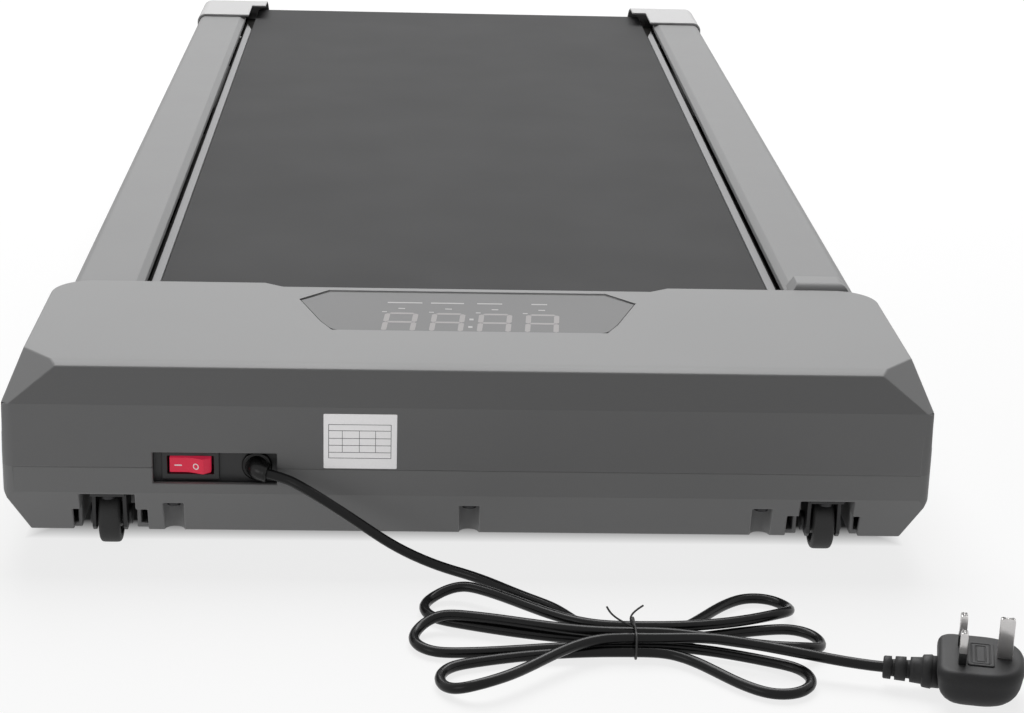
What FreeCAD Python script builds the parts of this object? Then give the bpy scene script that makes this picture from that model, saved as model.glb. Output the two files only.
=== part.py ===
import FreeCAD, Part
import math
import os

os.makedirs("parts", exist_ok=True)
V = FreeCAD.Vector

# A flat motorised walking pad, in millimetres. X is to the right, Y runs from the motor end to the tail,
# Z is up, and the origin is on the floor below the middle of the machine.

# Overall sizes and shared clearances
total_length = 1230.0
hood_length = 171.0
cut_overrun = 5.0
running_gap = 0.05
loose_gap = 0.3
screw_gap = 0.05
screw_clearance = 0.3

# Motor hood and belly pan, two shells that meet at a level seam
seam_width = 551.0
waist_side_set = 1.5
top_side_set = 9.0
seam_height = 56.0
waist_height = 95.0
facet_height = 116.0
hood_height = 118.0
facet_lean = 7.6
bevel_run = 8.0
front_corner_radius = 8.0
rear_corner_radius = 25.0
corner_cut_across = 18.3
corner_cut_along = 20.1
hood_wall = 3.0
notch_half_wide = 131.0
notch_half_narrow = 119.0
notch_depth = 8.0
pan_wall = 3.0
pan_bottom = 13.0
pan_chamfer_height = 40.0
pan_chamfer_front = 8.5
pan_chamfer_side = 15.0
tray_boss_radius = 6.0
tray_boss_height = 4.0
tray_boss_side_set = 99.5
tray_boss_front_set = 35.0
tray_boss_rear_set = 130.0

tray_boss_sink = 2.5

# Housing screws: three in half-round slots along the front, four in the pan's bosses, two in hood posts
screw_radius = 2.0
screw_head_radius = 4.2
screw_head = 2.5
screw_reach = 5.0
slot_side_set = 100.0
slot_set = 8.5
slot_radius = 6.0
slot_wall = 3.0
slot_top = 32.5
slot_roof = 4.0
post_side_set = 78.5
post_set = 80.0
post_radius = 5.0
post_bore_depth = 16.0
post_screw_reach = 14.0

# Display under a smoked window in the hood
lens_tip_half = 106.6
lens_tip_set = 34.0
lens_back_half = 89.0
lens_back_set = 15.0
lens_corner_half = 91.9
lens_corner_set = 78.0
lens_front_half = 84.0
lens_front_set = 94.5
lens_recess = 0.6
lens_flange = 4.0
lens_flange_thick = 1.2
display_board_half = 116.0
display_board_front_set = 99.0
display_board_back_set = 12.0
display_board_thick = 1.6
display_boss_radius = 3.5
display_boss_length = 5.4
display_boss_x = 110.0
display_boss_inset = 3.5
display_screw_radius = 1.2
display_screw_head_radius = 2.5
display_screw_head = 1.5
display_screw_reach = 4.0
digit_count = 4
digit_pitch = 29.2
digit_first_x = -42.6
digit_width = 24.0
digit_length = 40.0
digit_thick = 3.9
digit_centre_set = 76.8

# Switch plate, rocker switch and cord gland in the recess at the front
recess_side_set = 88.7
recess_width = 72.8
recess_low = 46.2
recess_high = 65.5
recess_depth = 6.0
plate_rim = 2.0
plate_thick = 2.5
rocker_left_set = 21.8
rocker_z = 56.4
rocker_half = 12.4
rocker_height = 10.8
rocker_apex = 4.8
rocker_angle = 9.0
rocker_pivot_depth = 8.9
rocker_flank_half = 11.2
rocker_flank_rise = 2.5
rocker_keel_half = 4.0
rocker_keel_drop = 5.0
rocker_reach = 13.3
rocker_gap = 0.35
rocker_pin_radius = 1.5
rocker_pin_length = 1.0
bezel_rim = 1.8
bezel_thick = 2.0
switch_wall = 1.4
switch_depth = 21.0
switch_well_depth = 12.0
terminal_pitch = 9.0
terminal_width = 4.8
terminal_thick = 0.8
terminal_length = 8.0
gland_right_set = 12.0
gland_z = 56.0
gland_flange_radius = 9.0
gland_flange_thick = 2.5
gland_neck_radius = 6.5
gland_neck_length = 9.0
gland_boot_radius = 6.2
gland_boot_end_radius = 4.6
gland_boot_bend = 13.0
gland_boot_angle = 65.0
gland_boot_steps = 4

# Steel frame: two side beams, a welded front tray and cross bars
beam_side_set = 46.5
beam_width = 22.0
beam_low = 44.0
beam_high = 100.0
beam_wall = 2.0
beam_front_set = 15.0
beam_rear_set = 25.0
tray_wall = 3.0
tray_side_set = 85.5
tray_front_set = 6.0
tray_rear_set = 6.0
tray_base_set = 6.0
tab_width = 10.0
tab_front = 3.9
bar_count = 4
bar_first_set = 44.0
bar_last_set = 115.0
bar_size = 20.0
bar_wall = 2.0

# Running belt, deck and rollers
belt_top = 104.0
belt_thick = 2.0
belt_side_set = 72.5
belt_gap = 0.3
roller_radius = 21.0
roller_wall = 2.5
roller_side_set = 71.5
front_axle_set = 128.0
rear_axle_set = 31.0
axle_radius = 7.0
axle_end_gap = 0.2
bearing_width = 12.0
bearing_inset = 2.0
bearing_fit = 0.02
rear_travel = 8.0
deck_thick = 14.0
deck_side_set = 63.5
deck_front_gap = 16.0
deck_rear_set = 70.0
cushion_radius = 15.0
cushion_thick = 5.0
cushion_side_set = 105.5
deck_screw_radius = 2.5
deck_screw_head_radius = 5.0
deck_screw_head = 2.5
deck_screw_sink = 0.5
deck_screw_length = 26.0
strip_belt_gap = 0.5
strip_rail_gap = 1.6
strip_thick = 3.3
strip_front_set = 38.0
strip_inner_end_set = 142.0
strip_outer_end_set = 112.0

# Tension bolts that set the rear axle
bolt_side_set = 58.0
bolt_radius = 4.0
bolt_thread_gap = 0.1
bolt_head_radius = 6.5
bolt_head = 6.0
bolt_socket_radius = 3.0
bolt_socket_sides = 6
bolt_socket_depth = 3.5
bolt_length = 37.0
bracket_plate = 3.0
bracket_front_set = 28.0
bracket_flange_set = 16.0
bracket_half_height = 10.0
bracket_flange_side_set = 68.5
cap_hole_radius = 7.0

# Motor, pulleys and the ribbed drive belt
motor_set = 53.0
motor_z = 65.0
motor_radius = 38.0
motor_can_wall = 4.0
motor_length = 124.0
motor_side_set = 101.5
bell_thick = 4.0
armature_radius = 30.0
armature_margin = 14.0
shaft_radius = 5.0
shaft_left_reach = 2.0
shaft_right_reach = 2.0
flywheel_radius = 33.0
flywheel_thick = 12.0
flywheel_set = 22.0
flywheel_rim = 8.0
flywheel_dish = 3.0
pulley_side_set = 69.5
pulley_rib_count = 5
pulley_rib_pitch = 3.0
pulley_rib_depth = 2.0
pulley_flange = 0.5
roller_pulley_radius = 30.0
motor_pulley_radius = 11.0
drive_belt_thick = 3.0
drive_belt_margin = 1.0
saddle_plate = 3.0
saddle_rib = 10.0
saddle_inset = 12.0
saddle_rib_inset = 16.0
saddle_half_depth = 41.0
saddle_height = 24.0
strap_thick = 2.0
strap_foot_inset = 35.0

# Drive electronics on the tray
board_left_share = 0.1835
board_length_share = 0.5963
board_front_set = 16.0
board_depth = 68.0
board_thick = 1.6
standoff_radius = 3.0
standoff_height = 5.0
standoff_inset = 6.0
heatsink_left_share = 0.731
heatsink_width_share = 0.246
heatsink_depth = 56.0
heatsink_base = 4.0
heatsink_height = 30.0
heatsink_fins = 7
heatsink_fin = 1.8
capacitor_radius_share = 0.0846
capacitor_height = 32.0
capacitor_left_share = 0.569
capacitor_set = 15.0
capacitor_pitch_share = 0.2
choke_left_share = 0.0923
choke_width_share = 0.2308
choke_depth = 26.0
choke_height = 20.0
choke_set = 20.0
relay_left_share = 0.3385
relay_width_share = 0.1077
relay_depth = 20.0
relay_height = 16.0
relay_set = 24.0

# Side rails, end caps, feet and the block on the right rail
rail_inner_side_set = 64.5
rail_outer_side_set = 18.5
rail_top = 114.5
rail_low = 30.0
rail_wall = 2.5
rail_bevel = 5.0
rail_bevel_drop = 3.0
rail_round = 6.0
rail_lip = 7.0
rail_front_set = 27.0
rail_rear_set = 115.0
rail_rib = 2.5
rail_rib_inset = 3.0
rail_slot_gap = 1.0
cap_wall = 2.2
cap_front_set = 127.0
cap_lip_rear_set = 75.0
cap_inner_side_set = 68.5
cap_lip_side_set = 82.5
cap_low = 22.0
cap_round_set = 55.0
cap_round_drop = 51.0
cap_toe = 10.0
cap_boss_radius = 6.0
cap_boss_set = 55.0
cap_screw_low = 60.0
cap_screw_pitch = 28.0
cap_screw_radius = 2.2
cap_screw_head_radius = 4.2
cap_screw_head = 2.4
cap_screw_length = 13.0
foot_side_set = 35.5
foot_set = 40.0
foot_radius = 16.0
foot_sole_radius = 17.0
foot_sole = 20.0
foot_stem_radius = 11.0
foot_chamfer = 2.0
block_inner_side_set = 63.5
block_outer_side_set = 24.5
block_depth = 20.0
block_height = 7.0
block_slant = 5.0

# Transport wheels in their wells
wheel_side_set = 61.2
wheel_radius = 17.0
wheel_width = 12.7
wheel_set = 23.0
wheel_crown = 1.5
hub_radius = 12.0
hub_web = 7.0
hub_boss_radius = 7.5
tyre_fit = 0.05
wheel_axle_radius = 4.0
wheel_axle_head_radius = 6.0
wheel_axle_head = 2.0
ear_gap = 1.5
ear_thick = 2.5
ear_round = 6.5
ear_front = 12.0
ear_chamfer = 3.0
fork_plate = 2.5
fork_half_length = 20.0
fork_bolt_half_pitch = 14.5
fork_bolt_radius = 2.5
fork_bolt_head_radius = 4.0
fork_bolt_head = 2.5
well_inner_side_set = 77.5
well_outer_side_set = 45.0
well_top = 38.5
well_depth = 49.0
well_wall = 2.5
well_mouth_inner_side_set = 84.5
well_mouth_outer_side_set = 40.5
well_mouth_top = 27.5
well_mouth_depth = 12.0

# Mains cord, its tied hank and its three-pin plug
cord_diameter = 6.0
cord_lift = 0.2
hank_gland_set = 214.5
hank_front_set = 123.0
hank_pitch = 7.2
hank_rise = 6.7
hank_waist_half = 9.0
hank_tie_room = 1.4
hank_lead_x = -46.0
hank_lead_y = 52.0
hank_lead_share = -0.88
hank_tail_x = 50.0
hank_tail_y = -15.0
hank_tail_z = 14.0
hank_tail_run = 80.0
hank_tail_side = -24.0
hank_tail_drop = -2.0
hank_end_run = 6.0
hank_bend_share = 1.1
# The folds of the hank, right and left by turns: fan angles, reaches, half-widths, lifts of their sides
hank_fan_angles = (36.0, 29.0, 3.0, 1.0, -30.0, -28.0)
hank_reaches = (107.0, 126.0, 104.0, 121.0, 101.0, 118.0)
hank_half_widths = (18.0, 18.0, 17.5, 18.0, 18.0, 18.0)
hank_lifts_in = (0.0, 6.0, 0.0, 6.0, 0.0, 0.0)
hank_lifts_out = (6.0, 0.0, 6.0, 0.0, 0.0, 6.7)
hank_open_right_angle = 3.0
hank_open_left_angle = 4.0
# Where each pass of the hank lies in the tie: shares of the pitch across, and shares of the rise
hank_pass_shares = (1.5, 1.0, 0.5, 0.0, -0.5, -1.5, -1.0)
hank_layer_shares = (0, 1, 0, 1, 0, 0, 1)
hank_step = 2.0
hank_skip = 25.0
route_round_share = 0.45
tiny_share = 1e-6
lead_first_run = 14.0
# The lead's points: across from the gland, along from the front, and up from the floor
lead_points = (
    (38.5, -20.0, 47.5),
    (60.0, -21.5, 31.0),
    (82.0, -20.5, 14.5),
    (106.0, -22.0, 4.6),
    (131.0, -35.0, 3.2),
)
lead_last_run = 20.0
tail_first_run = 24.0
tail_last_run = 15.0
tie_width = 3.0
tie_thick = 1.0
tie_gap = 0.3
tie_round = 5.0
tie_end_radius = 0.6
tie_end_length = 22.0
tie_end_angle = 18.0
plug_hank_set = 180.1
plug_front_set = 172.0
plug_angle = -12.0
plug_length = 46.0
plug_width = 51.0
plug_height = 23.0
plug_corner_radius = 9.0
plug_nose_radius = 21.0
plug_base_round = 8.0
plug_cord_z = 10.5
pin_spacing = 22.2
pin_line_set = -10.3
line_pin_wide = 6.35
line_pin_thick = 4.0
line_pin_length = 17.7
earth_pin_wide = 8.0
earth_pin_length = 22.7
pin_chamfer = 1.0
fuse_from = -7.5
fuse_length = 14.0
fuse_width = 28.0
fuse_thick = 0.8
relief_length = 28.0
relief_radius = 6.0
relief_root_radius = 9.0
relief_rib_count = 4
relief_core_share = 0.8

# Places along the machine, from its two ends and the hood's back
front_y = -total_length / 2
rear_y = total_length / 2
hood_back_y = front_y + hood_length
tray_length = hood_length - tray_front_set - tray_rear_set
front_axle_y = front_y + front_axle_set
rear_axle_y = rear_y - rear_axle_set
motor_y = front_y + motor_set
wheel_y = front_y + wheel_set
plate_face_y = front_y + recess_depth
bar_first_y = hood_back_y + bar_first_set
bar_pitch = (rear_y - bar_last_set - bar_first_y) / (bar_count - 1)
deck_rear_y = rear_y - deck_rear_set
strip_front_y = front_axle_y + strip_front_set
strip_inner_end_y = rear_y - strip_inner_end_set
strip_outer_end_y = rear_y - strip_outer_end_set
rail_front_y = front_axle_y + rail_front_set
rail_rear_y = rear_y - rail_rear_set
cap_front_y = rear_y - cap_front_set
cap_lip_y = rear_y - cap_lip_rear_set
cap_round_start = rear_y - cap_round_set
hank_y = front_y - hank_front_set
plug_y = front_y - plug_front_set

# Places across the machine, from its sides
side_x = seam_width / 2
waist_width = seam_width - 2 * waist_side_set
hood_top_width = waist_width - 2 * top_side_set
tray_boss_x = side_x - tray_boss_side_set
slot_pitch = side_x - slot_side_set
post_x = side_x - post_side_set
recess_left = recess_side_set - side_x
recess_right = recess_left + recess_width
rocker_x = recess_left + rocker_left_set
gland_x = recess_right - gland_right_set
beam_inner_x = side_x - beam_side_set
beam_outer_x = beam_inner_x + beam_width
tray_half = side_x - tray_side_set
belt_half_width = side_x - belt_side_set
roller_half_length = side_x - roller_side_set
deck_half_width = side_x - deck_side_set
cushion_x = side_x - cushion_side_set
bolt_x = side_x - bolt_side_set
bracket_flange_inner_x = side_x - bracket_flange_side_set
motor_right_x = side_x - motor_side_set
motor_left_x = motor_right_x - motor_length
flywheel_left_x = motor_left_x - flywheel_set
pulley_left_x = side_x - pulley_side_set
pulley_right_x = pulley_left_x + pulley_rib_count * pulley_rib_pitch + 2 * pulley_flange
shaft_left_x = flywheel_left_x - shaft_left_reach
shaft_right_x = pulley_right_x + shaft_right_reach
rail_inner_x = side_x - rail_inner_side_set
strip_inner_x = belt_half_width + strip_belt_gap
strip_outer_x = rail_inner_x - strip_rail_gap
rail_outer_x = side_x - rail_outer_side_set
cap_inner_x = side_x - cap_inner_side_set
cap_lip_x = side_x - cap_lip_side_set
foot_x = side_x - foot_side_set
block_inner_x = side_x - block_inner_side_set
block_outer_x = side_x - block_outer_side_set
wheel_x = side_x - wheel_side_set
well_inner_x = side_x - well_inner_side_set
well_outer_x = side_x - well_outer_side_set
well_mouth_inner_x = side_x - well_mouth_inner_side_set
well_mouth_outer_x = side_x - well_mouth_outer_side_set
hank_x = gland_x + hank_gland_set
plug_x = hank_x + plug_hank_set

# The electronics' share of the tray's left half, between its end and the flywheel
drive_room = flywheel_left_x + tray_half
board_left = board_left_share * drive_room - tray_half
board_length = board_length_share * drive_room
heatsink_left = board_left + heatsink_left_share * board_length
heatsink_width = heatsink_width_share * board_length
capacitor_x = board_left + capacitor_left_share * board_length
capacitor_radius = capacitor_radius_share * board_length
capacitor_pitch = capacitor_pitch_share * board_length
choke_left = board_left + choke_left_share * board_length
choke_width = choke_width_share * board_length
relay_left = board_left + relay_left_share * board_length
relay_width = relay_width_share * board_length

# Heights that follow from those sizes
hood_inner_top = hood_height - hood_wall
deck_top = belt_top - belt_thick - belt_gap
roller_z = deck_top - roller_radius
bar_top = deck_top - deck_thick - cushion_thick
tray_low = pan_bottom + pan_wall + tray_boss_height
tray_top = tray_low + tray_wall
cord_radius = cord_diameter / 2
cord_floor_z = cord_radius + cord_lift


def box(x, y, z):
    """A block between two X, two Y and two Z values."""
    return Part.makeBox(x[1] - x[0], y[1] - y[0], z[1] - z[0], V(x[0], y[0], z[0]))


def rod(axis, radius, span, centre):
    """A cylinder along one axis, over a span of it, about a centre in the other two."""
    place = {
        "x": (V(span[0], centre[0], centre[1]), V(1, 0, 0)),
        "y": (V(centre[0], span[0], centre[1]), V(0, 1, 0)),
        "z": (V(centre[0], centre[1], span[0]), V(0, 0, 1)),
    }
    base, way = place[axis]
    return Part.makeCylinder(radius, span[1] - span[0], base, way)


def ring(axis, outer, inner, span, centre):
    """A cylinder with a bore right through it."""
    through = (span[0] - cut_overrun, span[1] + cut_overrun)
    return rod(axis, outer, span, centre).cut(rod(axis, inner, through, centre))


def at(plane, a, b, c):
    """A point from its two coordinates in a plane and its place along the third axis."""
    return {"yz": V(c, a, b), "xz": V(a, c, b), "xy": V(a, b, c)}[plane]


def prism(plane, points, span):
    """A polygon in a coordinate plane, carried along the third axis over a span."""
    corners = [at(plane, a, b, span[0]) for a, b in points]
    face = Part.Face(Part.makePolygon(corners + corners[:1]))
    return face.extrude(at(plane, 0, 0, span[1] - span[0]))


def arc_edge(start, middle, end):
    """A circular edge through three points."""
    return Part.Arc(start, middle, end).toShape()


def line_edge(start, end):
    """A straight edge."""
    return Part.LineSegment(start, end).toShape()


def mirrored(shape):
    """The same piece on the other side of the machine."""
    return shape.mirror(V(0, 0, 0), V(1, 0, 0))


def upright_edges(shape, x_test, y_test):
    """The vertical edges whose X and Y pass two tests."""
    found = []
    for edge in shape.Edges:
        first = edge.Vertexes[0].Point
        last = edge.Vertexes[-1].Point
        level = abs(first.x - last.x) + abs(first.y - last.y)
        if level < running_gap and x_test(first.x) and y_test(first.y):
            found.append(edge)
    return found


def turned_x(points, centre):
    """A profile of (x, radius) points turned about a line along X through a (y, z) centre."""
    corners = [V(x, r, 0) for x, r in points]
    solid = Part.Face(Part.makePolygon(corners + corners[:1])).revolve(V(0, 0, 0), V(1, 0, 0), 360)
    solid.translate(V(0, centre[0], centre[1]))
    return solid


def hull(radius_1, centre_1, radius_2, centre_2, span):
    """Two circles in the YZ plane and the straight tangents round them, carried along X."""
    step_y = centre_2[0] - centre_1[0]
    step_z = centre_2[1] - centre_1[1]
    heading = math.atan2(step_z, step_y)
    spread = math.acos((radius_1 - radius_2) / math.hypot(step_y, step_z))

    def rim(radius, centre, angle):
        return V(span[0], centre[0] + radius * math.cos(angle), centre[1] + radius * math.sin(angle))

    upper = (rim(radius_1, centre_1, heading + spread), rim(radius_2, centre_2, heading + spread))
    lower = (rim(radius_1, centre_1, heading - spread), rim(radius_2, centre_2, heading - spread))
    edges = [
        line_edge(upper[0], upper[1]),
        arc_edge(upper[1], rim(radius_2, centre_2, heading), lower[1]),
        line_edge(lower[1], lower[0]),
        arc_edge(lower[0], rim(radius_1, centre_1, heading + math.pi), upper[0]),
    ]
    return Part.Face(Part.Wire(edges)).extrude(V(span[1] - span[0], 0, 0))


def loop_band(radius_1, centre_1, radius_2, centre_2, gap, thick, span):
    """An endless belt that runs a small gap off two round things."""
    through = (span[0] - cut_overrun, span[1] + cut_overrun)
    inner = gap
    outer = gap + thick
    band = hull(radius_1 + outer, centre_1, radius_2 + outer, centre_2, span)
    return band.cut(hull(radius_1 + inner, centre_1, radius_2 + inner, centre_2, through))


def beyond(point, normal, size):
    """A large block on the outer side of a plane."""
    block = Part.makeBox(2 * size, 2 * size, size, V(-size, -size, 0))
    block.Placement = FreeCAD.Placement(point, FreeCAD.Rotation(V(0, 0, 1), normal))
    return block


def save(name, *shapes):
    """Writes one node, as one solid or as a group of separate solids."""
    solids = [solid for shape in shapes for solid in shape.Solids]
    whole = solids[0] if len(solids) == 1 else Part.makeCompound(solids)
    whole.exportStep("parts/" + name + ".step")
    valid = all(solid.isValid() for solid in solids)
    print("%-24s solids %2d  volume %10.0f  valid %s" % (name, len(solids), whole.Volume, valid))


def front_block(inset, low, high):
    """The common outline of hood and pan from above, with rounded upright corners in front."""
    half = seam_width / 2 - inset
    block = box((-half, half), (front_y + inset, hood_back_y - inset), (low, high))
    middle_y = (front_y + hood_back_y) / 2
    front_edges = upright_edges(block, lambda x: True, lambda y: y < middle_y)
    return block.makeFillet(front_corner_radius - inset, front_edges)


def plan_block(inset, low, high):
    """The same outline with rounded upright corners behind too."""
    block = front_block(inset, low, high)
    rear_edges = upright_edges(block, lambda x: True, lambda y: y > hood_back_y - inset - running_gap)
    return block.makeFillet(rear_corner_radius - inset, rear_edges)


def leaning_side(inset, stations):
    """The hood's right side and rear corner, carried up through its half widths and heights."""
    radius = rear_corner_radius - inset
    back = hood_back_y - inset
    front = front_y - cut_overrun
    corner_set = radius * (1 - math.sqrt(0.5))
    layers = []
    for (half, low), (half_above, high) in zip(stations, stations[1:]):
        side_end = V(half, back - radius, low)
        back_end = V(half - radius, back, low)
        edges = [
            line_edge(V(-seam_width, front, low), V(half, front, low)),
            line_edge(V(half, front, low), side_end),
            arc_edge(side_end, V(half - corner_set, back - corner_set, low), back_end),
            line_edge(back_end, V(-seam_width, back, low)),
            line_edge(V(-seam_width, back, low), V(-seam_width, front, low)),
        ]
        layers.append(Part.Face(Part.Wire(edges)).extrude(V(half_above - half, 0, high - low)))
    return layers[0].fuse(layers[1])


def hood_form(inset):
    """The hood's closed outer form, or the same form drawn in by a wall."""
    top = hood_height - inset
    y = front_y + inset
    low = seam_height - (cut_overrun if inset else 0)
    front_profile = (
        (y, low),
        (y, waist_height),
        (y + facet_lean, facet_height - inset),
        (y + facet_lean + bevel_run, top),
        (hood_back_y + cut_overrun, top),
        (hood_back_y + cut_overrun, low),
    )
    stations = (
        (seam_width / 2 - inset, low),
        (waist_width / 2 - inset, waist_height),
        (hood_top_width / 2 - inset, top),
    )
    form = front_block(inset, low, top)
    form = form.common(prism("yz", front_profile, (-seam_width, seam_width)))
    right_side = leaning_side(inset, stations)
    form = form.common(right_side).common(mirrored(right_side))
    corner_set = front_corner_radius * (1 - math.sqrt(0.5))
    half_flat = hood_top_width / 2
    bevel_y = front_y + facet_lean + bevel_run
    for side in (-1, 1):
        near = V(side * (half_flat - corner_cut_across), bevel_y, hood_height)
        far = V(side * half_flat, bevel_y + corner_cut_along, hood_height)
        foot = V(side * (waist_width / 2 - corner_set), front_y + corner_set, waist_height)
        normal = (far - near).cross(foot - near)
        normal.normalize()
        if normal.z < 0:
            normal = normal * -1
        form = form.cut(beyond(foot - normal * inset, normal, hood_length))
    return form


def lens_outline(grow):
    """The window's eight-sided outline, grown by a margin."""
    right = (
        (lens_back_half + grow, hood_back_y - lens_back_set + grow),
        (lens_tip_half + grow, hood_back_y - lens_tip_set),
        (lens_corner_half + grow, hood_back_y - lens_corner_set),
        (lens_front_half + grow, hood_back_y - lens_front_set - grow),
    )
    return right + tuple((-x, y) for x, y in reversed(right))


# Where the display's screws, the front slots and the hood's posts stand
display_back_y = hood_back_y - display_board_back_set
display_front_y = hood_back_y - display_board_front_set
display_screw_places = [
    (side * display_boss_x, y)
    for side in (-1, 1)
    for y in (display_front_y + display_boss_inset, display_back_y - display_boss_inset)
]
slot_places = [(number * slot_pitch, front_y + slot_set) for number in (-1, 0, 1)]
slot_roof_top = slot_top + slot_roof
post_places = [(side * post_x, front_y + post_set) for side in (-1, 1)]
recess_x = (recess_left, recess_right)
recess_z = (recess_low, recess_high)
recess_cut = box(recess_x, (front_y - cut_overrun, front_y + hood_wall + cut_overrun), recess_z)

# Motor hood: a thin shell, open below and behind, with posts for its screws and the display's
hood = hood_form(0.0).cut(hood_form(hood_wall))
rail_way_half = rail_outer_x + rail_slot_gap
rail_way_y = (hood_back_y - rear_corner_radius, hood_back_y + cut_overrun)
rail_way_x = (-rail_way_half, rail_way_half)
hood = hood.cut(box(rail_way_x, rail_way_y, (seam_height - cut_overrun, hood_inner_top)))
notch = (
    (-notch_half_wide, hood_back_y),
    (-notch_half_narrow, hood_back_y - notch_depth),
    (notch_half_narrow, hood_back_y - notch_depth),
    (notch_half_wide, hood_back_y),
    (notch_half_wide, hood_back_y + cut_overrun),
    (-notch_half_wide, hood_back_y + cut_overrun),
)
hood = hood.cut(prism("xy", notch, (seam_height, hood_height + cut_overrun)))
lens_way = (hood_inner_top - cut_overrun, hood_height + cut_overrun)
hood = hood.cut(prism("xy", lens_outline(loose_gap), lens_way))
for place in post_places:
    hood = hood.fuse(rod("z", post_radius, (beam_low, hood_inner_top), place))
    bore = (beam_low - cut_overrun, beam_low + post_bore_depth)
    hood = hood.cut(rod("z", screw_radius + screw_gap, bore, place))
for place in display_screw_places:
    boss_low = hood_inner_top - display_boss_length
    hood = hood.fuse(rod("z", display_boss_radius, (boss_low, hood_inner_top), place))
    hole = (boss_low - cut_overrun, hood_inner_top)
    hood = hood.cut(rod("z", display_screw_radius + screw_gap, hole, place))
hood = hood.cut(recess_cut)
save("motor_hood", hood)

# Smoked window with a glued flange, the display board below it and its four digit blocks
lens_top = hood_height - lens_recess
lens_low = hood_inner_top - lens_flange_thick
lens = prism("xy", lens_outline(0.0), (lens_low, lens_top))
lens = lens.fuse(prism("xy", lens_outline(lens_flange), (lens_low, hood_inner_top)))
save("display_lens", lens)
display_top = hood_inner_top - display_boss_length
display_low = display_top - display_board_thick
display_x = (-display_board_half, display_board_half)
board = box(display_x, (display_front_y, display_back_y), (display_low, display_top))
display_screws = []
for place in display_screw_places:
    hole = (display_low - cut_overrun, display_top + cut_overrun)
    board = board.cut(rod("z", display_screw_radius + screw_clearance, hole, place))
    head = rod("z", display_screw_head_radius, (display_low - display_screw_head, display_low), place)
    shank = rod("z", display_screw_radius, (display_low, display_top + display_screw_reach), place)
    display_screws.append(head.fuse(shank))
save("display_board", board)
digit_y = hood_back_y - digit_centre_set
digit_blocks = []
for number in range(digit_count):
    x = digit_first_x + number * digit_pitch
    span_x = (x - digit_width / 2, x + digit_width / 2)
    span_y = (digit_y - digit_length / 2, digit_y + digit_length / 2)
    digit_blocks.append(box(span_x, span_y, (display_top, display_top + digit_thick)))
save("display_digits", *digit_blocks)


def pan_form(inset):
    """The belly pan's closed outer form, or the same form drawn in by a wall."""
    low = pan_bottom + inset
    high = seam_height + (cut_overrun if inset else 0)
    y = front_y + inset
    front_profile = (
        (y + pan_chamfer_front, low),
        (y, pan_chamfer_height),
        (y, high),
        (hood_back_y + cut_overrun, high),
        (hood_back_y + cut_overrun, low),
    )
    half = seam_width / 2 - inset
    side_profile = (
        (-half + pan_chamfer_side, low),
        (-half, pan_chamfer_height),
        (-half, high),
        (half, high),
        (half, pan_chamfer_height),
        (half - pan_chamfer_side, low),
    )
    form = plan_block(inset, low, high)
    form = form.common(prism("yz", front_profile, (-seam_width, seam_width)))
    return form.common(prism("xz", side_profile, (front_y - cut_overrun, hood_back_y + cut_overrun)))


# Belly pan: a tray with wheel wells, screw slots, bosses for the steel tray and a way out for the rails
pan_outer = pan_form(0.0)
pan_hollow = pan_form(pan_wall)
well_back_y = front_y + well_depth
wells = []
for side in (-1, 1):
    span_x = sorted((side * (well_inner_x - well_wall), side * (well_outer_x + well_wall)))
    liner = box(span_x, (front_y, well_back_y + well_wall), (pan_bottom, well_top + well_wall))
    pan_hollow = pan_hollow.cut(liner)
    span_x = sorted((side * well_inner_x, side * well_outer_x))
    wells.append(box(span_x, (front_y - cut_overrun, well_back_y), (pan_bottom - cut_overrun, well_top)))
    span_x = sorted((side * well_mouth_inner_x, side * well_mouth_outer_x))
    mouth_y = (front_y - cut_overrun, front_y + well_mouth_depth)
    wells.append(box(span_x, mouth_y, (pan_bottom - cut_overrun, well_mouth_top)))
for place in slot_places:
    pan_hollow = pan_hollow.cut(rod("z", slot_radius + slot_wall, (pan_bottom, slot_roof_top), place))
tray_boss_places = [
    (side * tray_boss_x, front_y + along)
    for side in (-1, 1)
    for along in (tray_boss_front_set, tray_boss_rear_set)
]
for place in tray_boss_places:
    pan_hollow = pan_hollow.cut(rod("z", tray_boss_radius, (pan_bottom, tray_low), place))
pan = pan_outer.cut(pan_hollow)
for well in wells:
    pan = pan.cut(well)
hole_radius = screw_radius + screw_clearance
for place in slot_places:
    slot_z = (pan_bottom - cut_overrun, slot_top)
    pan = pan.cut(rod("z", slot_radius, slot_z, place))
    slot_x = (place[0] - slot_radius, place[0] + slot_radius)
    pan = pan.cut(box(slot_x, (front_y - cut_overrun, place[1]), slot_z))
    pan = pan.cut(rod("z", hole_radius, (slot_top - cut_overrun, slot_roof_top + cut_overrun), place))
tray_boss_seat = pan_bottom + tray_boss_sink
for place in tray_boss_places:
    sink_radius = screw_head_radius + screw_clearance
    pan = pan.cut(rod("z", sink_radius, (pan_bottom - cut_overrun, tray_boss_seat), place))
    pan = pan.cut(rod("z", hole_radius, (tray_boss_seat - cut_overrun, tray_low + cut_overrun), place))
rail_way_low = rail_low - rail_slot_gap
pan = pan.cut(box(rail_way_x, rail_way_y, (rail_way_low, seam_height + cut_overrun)))
pan = pan.cut(recess_cut)
for side in (-1, 1):
    for along in (-fork_bolt_half_pitch, fork_bolt_half_pitch):
        hole = (well_top - cut_overrun, well_top + well_wall + cut_overrun)
        pan = pan.cut(rod("z", fork_bolt_radius + screw_clearance, hole, (side * wheel_x, wheel_y + along)))
save("belly_pan", pan)



def screw_up(place, seat, tip):
    """A screw driven upwards, its head below the seat."""
    head = rod("z", screw_head_radius, (seat - screw_head, seat), place)
    return head.fuse(rod("z", screw_radius, (seat, tip), place))


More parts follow.
